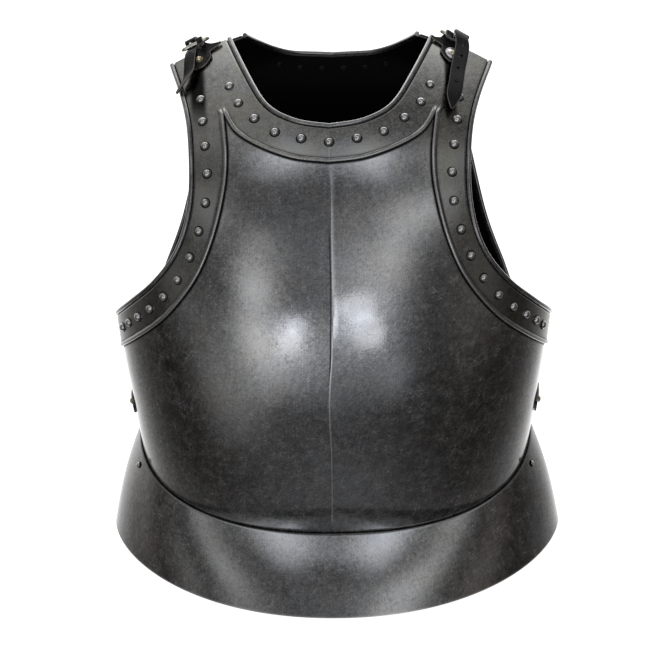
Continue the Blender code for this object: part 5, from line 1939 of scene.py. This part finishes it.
@dataclass
class Shoulder:
    """One shoulder: pad, rivet, buckle, strap and the rivet at the back.

    Attributes:
        side: Which shoulder.
        front: The breastplate's face.
        back: The backplate's face.
        pad_angle: Where the pad lies, in degrees.
        tongue: The pad's stations round the buckle's heel bar.
        threaded: The strap's stations through the buckle.
        hanging: The strap's stations in the air.
        punched: Which of the hanging stations have a hole.
        frame: Length of the buckle's bars and the distance between them.
        centre: The buckle's middle, in millimetres.
        rise: Degrees by which its bars slope.
        offset: How far its prong sits off the middle.
        washer: Radius of the washer under the front rivet, or 0 for none.
        dip: Degrees by which the buckle dips to the back.
        pad_thickness: Thickness of the pad.
        strap_thickness: Thickness of the strap.
        hole: Radius of the holes.
        punch: Half the length that is cut through for a hole.
        rivet: The head of the front rivet.
        rivet_lead: Degrees by which it sits outside the pad's middle.
        rivet_height: Its height.
        anchor: The head of the rivet at the back.
        anchor_height: Its height.
        sizes: The sizes of the metal under the leather.
        seed: Where the heads' small faults start from.
    """

    side: Side
    front: Loft
    back: Loft
    pad_angle: float
    tongue: Sequence[Framed]
    threaded: Sequence[Framed]
    hanging: Sequence[Hung]
    punched: Sequence[int]
    frame: Pair
    centre: tuple[float, float, float]
    rise: float
    offset: float
    washer: float = 0.0
    dip: float = 8.0
    pad_thickness: float = 0.0018
    strap_thickness: float = 0.0022
    hole: float = 0.0018
    punch: float = 0.005
    rivet: RivetStyle = RivetStyle(0.0028, 0.0033)
    rivet_lead: float = 0.2
    rivet_height: float = 0.4808
    anchor: RivetStyle = RivetStyle(0.0033, 0.0023)
    anchor_height: float = 0.4665
    sizes: PlateSizes = field(default_factory=PlateSizes)
    seed: int = 3

    def build(self) -> list[bpy.types.Object]:
        """Build the shoulder's pieces.

        Returns:
            The buckle, the pad, the strap and the two rivets.
        """
        buckle = self.buckle()
        made = [buckle.build(), self.build_pad(buckle), self.build_strap(buckle)]
        chance = np.random.default_rng(self.seed)
        return [*made, self.build_rivet(chance), self.build_anchor(chance)]

    def buckle(self) -> Buckle:
        """The buckle where it lies over the shoulder.

        Returns:
            The buckle, before its mesh is built.
        """
        slope, dip = math.radians(self.rise), math.radians(self.dip)
        across = np.array([math.cos(slope), 0.0, math.sin(slope)])
        ahead = np.array([0.0, math.cos(dip), -math.sin(dip)])
        ahead = unit(ahead - across * (ahead @ across))
        centre = np.array(self.centre) * MM + (0, DEPTH_SHIFT, 0)
        node = f"shoulder_buckle_{self.side.word}"
        return Buckle(f"{node}_metal", node, centre, across, ahead, *self.frame, self.offset)

    def lift(self, leather: float) -> float:
        """How far the top of a leather on the border stands off the plate."""
        return 5 * self.sizes.gap + self.sizes.trim + leather

    def build_pad(self, buckle: Buckle) -> bpy.types.Object:
        """The pad that holds the buckle.

        Args:
            buckle: The buckle.

        Returns:
            The piece.
        """
        node = f"shoulder_base_{self.side.word}"
        stations = laid(self.front, SHOULDER_PAD, self.side.value, self.pad_angle)
        stations += buckle.framed(self.tongue)
        return Strap(f"{node}_leather", self.pad_thickness, node).build(stations)

    def build_strap(self, buckle: Buckle) -> bpy.types.Object:
        """The strap from the backplate through the buckle, with its holes.

        Args:
            buckle: The buckle.

        Returns:
            The piece.
        """
        node = f"shoulder_strap_{self.side.word}"
        stations = laid(self.back, BACK_ANCHOR, self.side.value) + buckle.framed(self.threaded)
        first = len(stations)
        stations += hung(self.hanging)
        strap = Strap(f"{node}_leather", self.strap_thickness, node).build(stations)
        cutters = []
        for row in self.punched:
            before, here, after = stations[first + row - 1:first + row + 2]
            through = unit(np.cross(here.across, after.point - before.point)) * self.punch
            path = np.array([here.point - through, here.point, here.point + through])
            cutters.append(tube(path, np.full(3, self.hole), 20, here.across, False))
        cut(strap, cutters)
        return strap

    def build_rivet(self, chance: np.random.Generator) -> bpy.types.Object:
        """The rivet through the pad, with its washer if it has one.

        Args:
            chance: Where the small faults come from.

        Returns:
            The piece.
        """
        angle = self.side.value * (self.pad_angle + self.rivet_lead)
        spot = self.front.point(angle, self.rivet_height, self.lift(self.pad_thickness))
        axis = self.front.normal(self.side.value * self.pad_angle, self.rivet_height)
        shapes = [RivetStyle(self.washer, 0.0010).shape(spot, axis, chance)] if self.washer else []
        washer_points = sum(len(points) for points, _, _ in shapes)
        shapes.append(self.rivet.shape(spot, axis, chance))
        points, faces, mask = joined(shapes)
        masks = {"crevice_shade": mask, "pale": np.arange(len(points)) < washer_points}
        node = f"shoulder_rivet_{self.side.word}"
        return add_piece(f"{node}_brass", points, faces, Slot.BRASS, [node], masks)

    def build_anchor(self, chance: np.random.Generator) -> bpy.types.Object:
        """The rivet at the strap's hidden end.

        Args:
            chance: Where the small faults come from.

        Returns:
            The piece.
        """
        place = (self.side.value * BACK_ANCHOR[2].angle, self.anchor_height)
        spot = self.back.point(*place, self.lift(self.strap_thickness))
        points, faces, mask = self.anchor.shape(spot, self.back.normal(*place), chance)
        node = f"shoulder_back_rivet_{self.side.word}"
        return add_piece(f"{node}_brass", points, faces, Slot.BRASS, [node], {"crevice_shade": mask})


@dataclass
class SideStrap:
    """One side: the strap riveted to the breastplate and buckled to the backplate."""

    side: Side
    front: Loft
    back: Loft
    height: float = 0.137
    thickness: float = 0.0022
    gap: float = 0.0003
    rivet: RivetStyle = RivetStyle(0.0033, 0.0023)
    rivet_angle: float = 83.9
    frame_width: float = 0.0270
    frame_angle: float = 71.5
    half_angle: float = 4.0
    heel_lift: float = 0.0021
    bar_lift: float = 0.0052
    fixing: Sequence[Pair] = ((4, 0.0021), (6, 0.0014), (11, 0.0014))
    fixing_sheet: float = 0.0012
    seed: int = 4

    def build(self) -> list[bpy.types.Object]:
        """Build the side's pieces.

        Returns:
            The strap, the rivet and the buckle.
        """
        word, sign = self.side.word, self.side.value
        stations = laid(self.front, SIDE_STRAP_FRONT, sign, goes_round=True)
        stations += laid(self.back, SIDE_STRAP_BACK, sign, goes_round=True)
        strap = Strap(f"side_strap_{word}_leather", self.thickness, f"side_strap_{word}").build(stations)
        place = (sign * self.rivet_angle, self.height)
        spot = self.front.point(*place, 3 * self.gap + self.thickness)
        chance = np.random.default_rng(self.seed)
        points, faces, mask = self.rivet.shape(spot, self.front.normal(*place), chance)
        node = f"side_rivet_{word}"
        rivet = add_piece(f"{node}_brass", points, faces, Slot.BRASS, [node], {"crevice_shade": mask})
        return [strap, rivet, self.build_buckle()]

    def build_buckle(self) -> bpy.types.Object:
        """The buckle and the plate that fixes it.

        Returns:
            The piece.
        """
        sign = self.side.value
        heel = self.back.point(sign * (self.frame_angle - self.half_angle), self.height, self.heel_lift)
        bar = self.back.point(sign * (self.frame_angle + self.half_angle), self.height, self.bar_lift)
        across = unit(self.back.upward(sign * self.frame_angle, self.height)) * sign
        stations = []
        for behind, lift in self.fixing:
            point = self.back.point(sign * (self.frame_angle - behind), self.height, lift)
            stations.append(Station(point, across, 0.7 * self.frame_width))
        points, faces, mask = Strap("fixing", self.fixing_sheet, "", rounding=0.0003).shape(stations)
        node = f"side_buckle_{self.side.word}"
        buckle = Buckle(
            f"{node}_metal", node, (heel + bar) / 2, across, unit(bar - heel), self.frame_width,
            float(np.linalg.norm(bar - heel)),
        )
        return buckle.build([(points, faces, np.zeros_like(mask))])


# ---------------------------------------------------------------- stage

COOL = (0.96, 1.0, 1.07)
PLAIN = (1.0, 1.0, 1.0)
WARM = (1.05, 0.99, 0.92)


@dataclass(frozen=True)
class Lamp:
    """A soft lamp on the dome.

    Attributes:
        azimuth: Degrees round from the front, toward +X.
        elevation: Degrees above the horizon.
        spread: Its radius, in degrees.
        strength: Brightness at the middle.
        tint: Colour.
        crisp: Whether it is a disc with an edge, or a glow that fades.
    """

    azimuth: float
    elevation: float
    spread: float
    strength: float
    tint: tuple[float, float, float] = PLAIN
    crisp: bool = False

    def glow(self, graph: Graph, way: Wire) -> Wire:
        """The lamp's light by direction.

        Args:
            graph: The world's nodes.
            way: The direction looked in.

        Returns:
            The colour of the light.
        """
        a, e = math.radians(self.azimuth), math.radians(self.elevation)
        facing = graph.dot(way, (math.sin(a) * math.cos(e), -math.cos(a) * math.cos(e), math.sin(e)))
        radius = math.radians(self.spread)
        if self.crisp:
            share = facing.step(math.cos(1.2 * radius), math.cos(0.8 * radius))
        else:
            share = ((facing - 1.0) * radius ** -2).exp()
        return graph.scale(tuple(part * self.strength for part in self.tint), share)


LAMPS = (
    # Two key boxes in front, beside the keel
    Lamp(-15, -5, 5, 0.7, COOL), Lamp(-14, -3, 3, 1.1, COOL, True), Lamp(-16, -7, 3, 1.1, COOL, True),
    Lamp(12, 0, 7, 0.7, COOL), Lamp(11, 3, 4, 1.1, COOL, True), Lamp(13, -3, 4, 1.1, COOL, True),
    # An upright panel on the left, and its two ends
    Lamp(-28, -8, 7, 1.1), Lamp(-28, 8, 5, 1.0), Lamp(-25, 20, 5, 0.4), Lamp(-20, -12, 5, 0.4, COOL),
    Lamp(-45, -20, 12, 0.3), Lamp(-50, 25, 8, 0.5), Lamp(-70, 0, 8, 0.2), Lamp(-90, 65, 20, 0.4),
    # A tall panel on the right that leans back
    Lamp(18, 15, 7, 0.7), Lamp(25, 30, 8, 0.6), Lamp(22, -15, 5, 0.3, COOL), Lamp(40, 30, 8, 0.5),
    Lamp(60, 50, 10, 0.5), Lamp(65, 0, 12, 0.15, WARM),
    # Two overhead boxes that the flared skirt reflects
    Lamp(-25, 62, 5, 1.2, COOL), Lamp(-25, 52, 4, 0.4, COOL),
    Lamp(20, 62, 5, 1.4, COOL), Lamp(20, 52, 4, 0.5, COOL),
    # The room: in front, at the sides, behind and over the shoulders
    Lamp(0, 15, 25, 0.25, COOL), Lamp(0, -15, 8, 0.2, COOL), Lamp(0, -60, 20, 0.12, COOL),
    Lamp(-110, 0, 12, 0.2, WARM), Lamp(180, 15, 25, 2.5), Lamp(180, -50, 18, 2.2),
    Lamp(-140, 0, 12, 0.6), Lamp(-155, 50, 6, 2.0), Lamp(150, 50, 6, 2.0),
)


@dataclass
class Studio:
    """The floor, the light and the camera."""

    azimuth: float = 1.5
    elevation: float = 22.0
    roll: float = -0.9
    distance: float = 1.5
    target: tuple[float, float, float] = (-0.0085, 0.018, 0.205)
    lens: float = 87.45
    sensor: float = 36.0
    floor_reach: float = 6.0
    floor_drop: float = 0.0005
    floor_glow: float = 0.85
    ambient: tuple[float, float, float] = (0.026, 0.022, 0.019)
    lamps: Sequence[Lamp] = LAMPS

    def build(self) -> None:
        """Build the stage."""
        self.camera()
        self.floor()
        self.world()

    def camera(self) -> None:
        """The camera, which looks at the target from its own height."""
        a, e, r = (math.radians(v) for v in (self.azimuth, self.elevation, self.roll))
        back = Vector((math.sin(a) * math.cos(e), -math.cos(a) * math.cos(e), math.sin(e)))
        camera = bpy.data.objects.new("camera", bpy.data.cameras.new("camera"))
        bpy.context.scene.collection.objects.link(camera)
        camera.data.lens = self.lens
        camera.data.sensor_width = self.sensor
        forward = -back
        right = forward.cross(Vector((0, 0, 1))).normalized()
        up = right.cross(forward)
        right, up = right * math.cos(r) + up * math.sin(r), up * math.cos(r) - right * math.sin(r)
        spot = Vector(self.target) + back * self.distance
        rows = [(*axes, place) for *axes, place in zip(right, up, back, spot)]
        camera.matrix_world = Matrix([*rows, (0, 0, 0, 1)])
        bpy.context.scene.camera = camera

    def floor(self) -> None:
        """A pale floor that glows a little, so that it reads as plain white."""
        far, low = self.floor_reach, -self.floor_drop
        corners = [(-far, -far, low), (far, -far, low), (far, far, low), (-far, far, low)]
        mesh = bpy.data.meshes.new("floor")
        mesh.from_pydata(corners, [], [(0, 1, 2, 3)])
        floor = bpy.data.objects.new("floor", mesh)
        bpy.context.scene.collection.objects.link(floor)
        floor.visible_glossy = False
        floor.visible_diffuse = False
        material = bpy.data.materials.new("floor")
        graph = Graph(material)
        tone = graph.noise(graph.place(), 3.0, 2.0)
        graph.surface({
            "Base Color": graph.mix(tone, (0.86, 0.86, 0.86), (0.90, 0.90, 0.90)), "Roughness": 0.9,
            "Emission Color": (1.0, 1.0, 1.0, 1.0), "Emission Strength": self.floor_glow,
        })
        mesh.materials.append(material)

    def world(self) -> None:
        """The dome of soft lamps, with a white backdrop for the camera."""
        world = bpy.data.worlds.new("studio")
        graph = Graph(world)
        way = graph.place("Generated")
        light: Wire | tuple = self.ambient
        for lamp in self.lamps:
            light = graph.plus(light, lamp.glow(graph, way))
        dome = graph.wire("ShaderNodeBackground", None, {"Color": light, "Strength": 1.0})
        white = graph.wire("ShaderNodeBackground", None, {"Color": (1.0, 1.0, 1.0, 1.0), "Strength": 1.0})
        seen = graph.wire("ShaderNodeLightPath", output="Is Camera Ray")
        mixed = graph.wire("ShaderNodeMixShader", None, {0: seen, 1: dome, 2: white})
        graph.node("ShaderNodeOutputWorld", None, {"Surface": mixed})
        bpy.context.scene.world = world
        bpy.context.scene.view_settings.view_transform = "Standard"


def main() -> None:
    """Build the cuirass and its stage, and report each piece."""
    logging.basicConfig(level=logging.INFO, format="%(name)s %(message)s")
    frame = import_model()
    LOG.info("packed nodes: %d", len(frame["nodes"]))
    front_loft = Loft(FRONT_SECTIONS, -1, rib_height=0.00022)
    back_loft = Loft(BACK_SECTIONS, 1, inset=0.0070, tuck=0.008)
    front = Plate(
        "front", "breastplate", front_loft,
        (FRONT_NECK_EDGE, FRONT_NECK_BEAD, FRONT_ARM_EDGE, FRONT_ARM_BEAD),
        waist=(0.057, 0.046), rim=(0.2205, 0.188, 0.0), arm_end=1.0, arm_share=14 / 18,
    )
    back = Plate(
        "back", "backplate", back_loft,
        (BACK_NECK_EDGE, BACK_NECK_BEAD, BACK_ARM_EDGE, BACK_ARM_BEAD),
        waist=(0.080, 0.023), rim=(0.2135, 0.152, 0.008), arm_end=10 / 11, arm_share=11 / 14,
    )
    left = Shoulder(
        Side.LEFT, front_loft, back_loft, 31.3, LEFT_TONGUE, LEFT_THREADED, LEFT_HANGING,
        punched=(2, 3, 4, 5), frame=(0.0270, 0.0160), centre=(110.9, 25.6, 472.3), rise=-31.5,
        offset=0.0053, washer=0.0058,
    )
    right = Shoulder(
        Side.RIGHT, front_loft, back_loft, 34.1, RIGHT_TONGUE, RIGHT_THREADED, RIGHT_HANGING,
        punched=(0,), frame=(0.0250, 0.0160), centre=(-121.6, 24.6, 470.0), rise=25.8, offset=-0.0032,
    )
    sides = [SideStrap(side, front_loft, back_loft) for side in Side]
    for assembly in (front, back, Studs(front, back), left, right, *sides):
        for piece in assembly.build():
            LOG.info("%s: %d vertices", piece.name, len(piece.data.vertices))
    Studio().build()


if __name__ == "__main__":
    main()
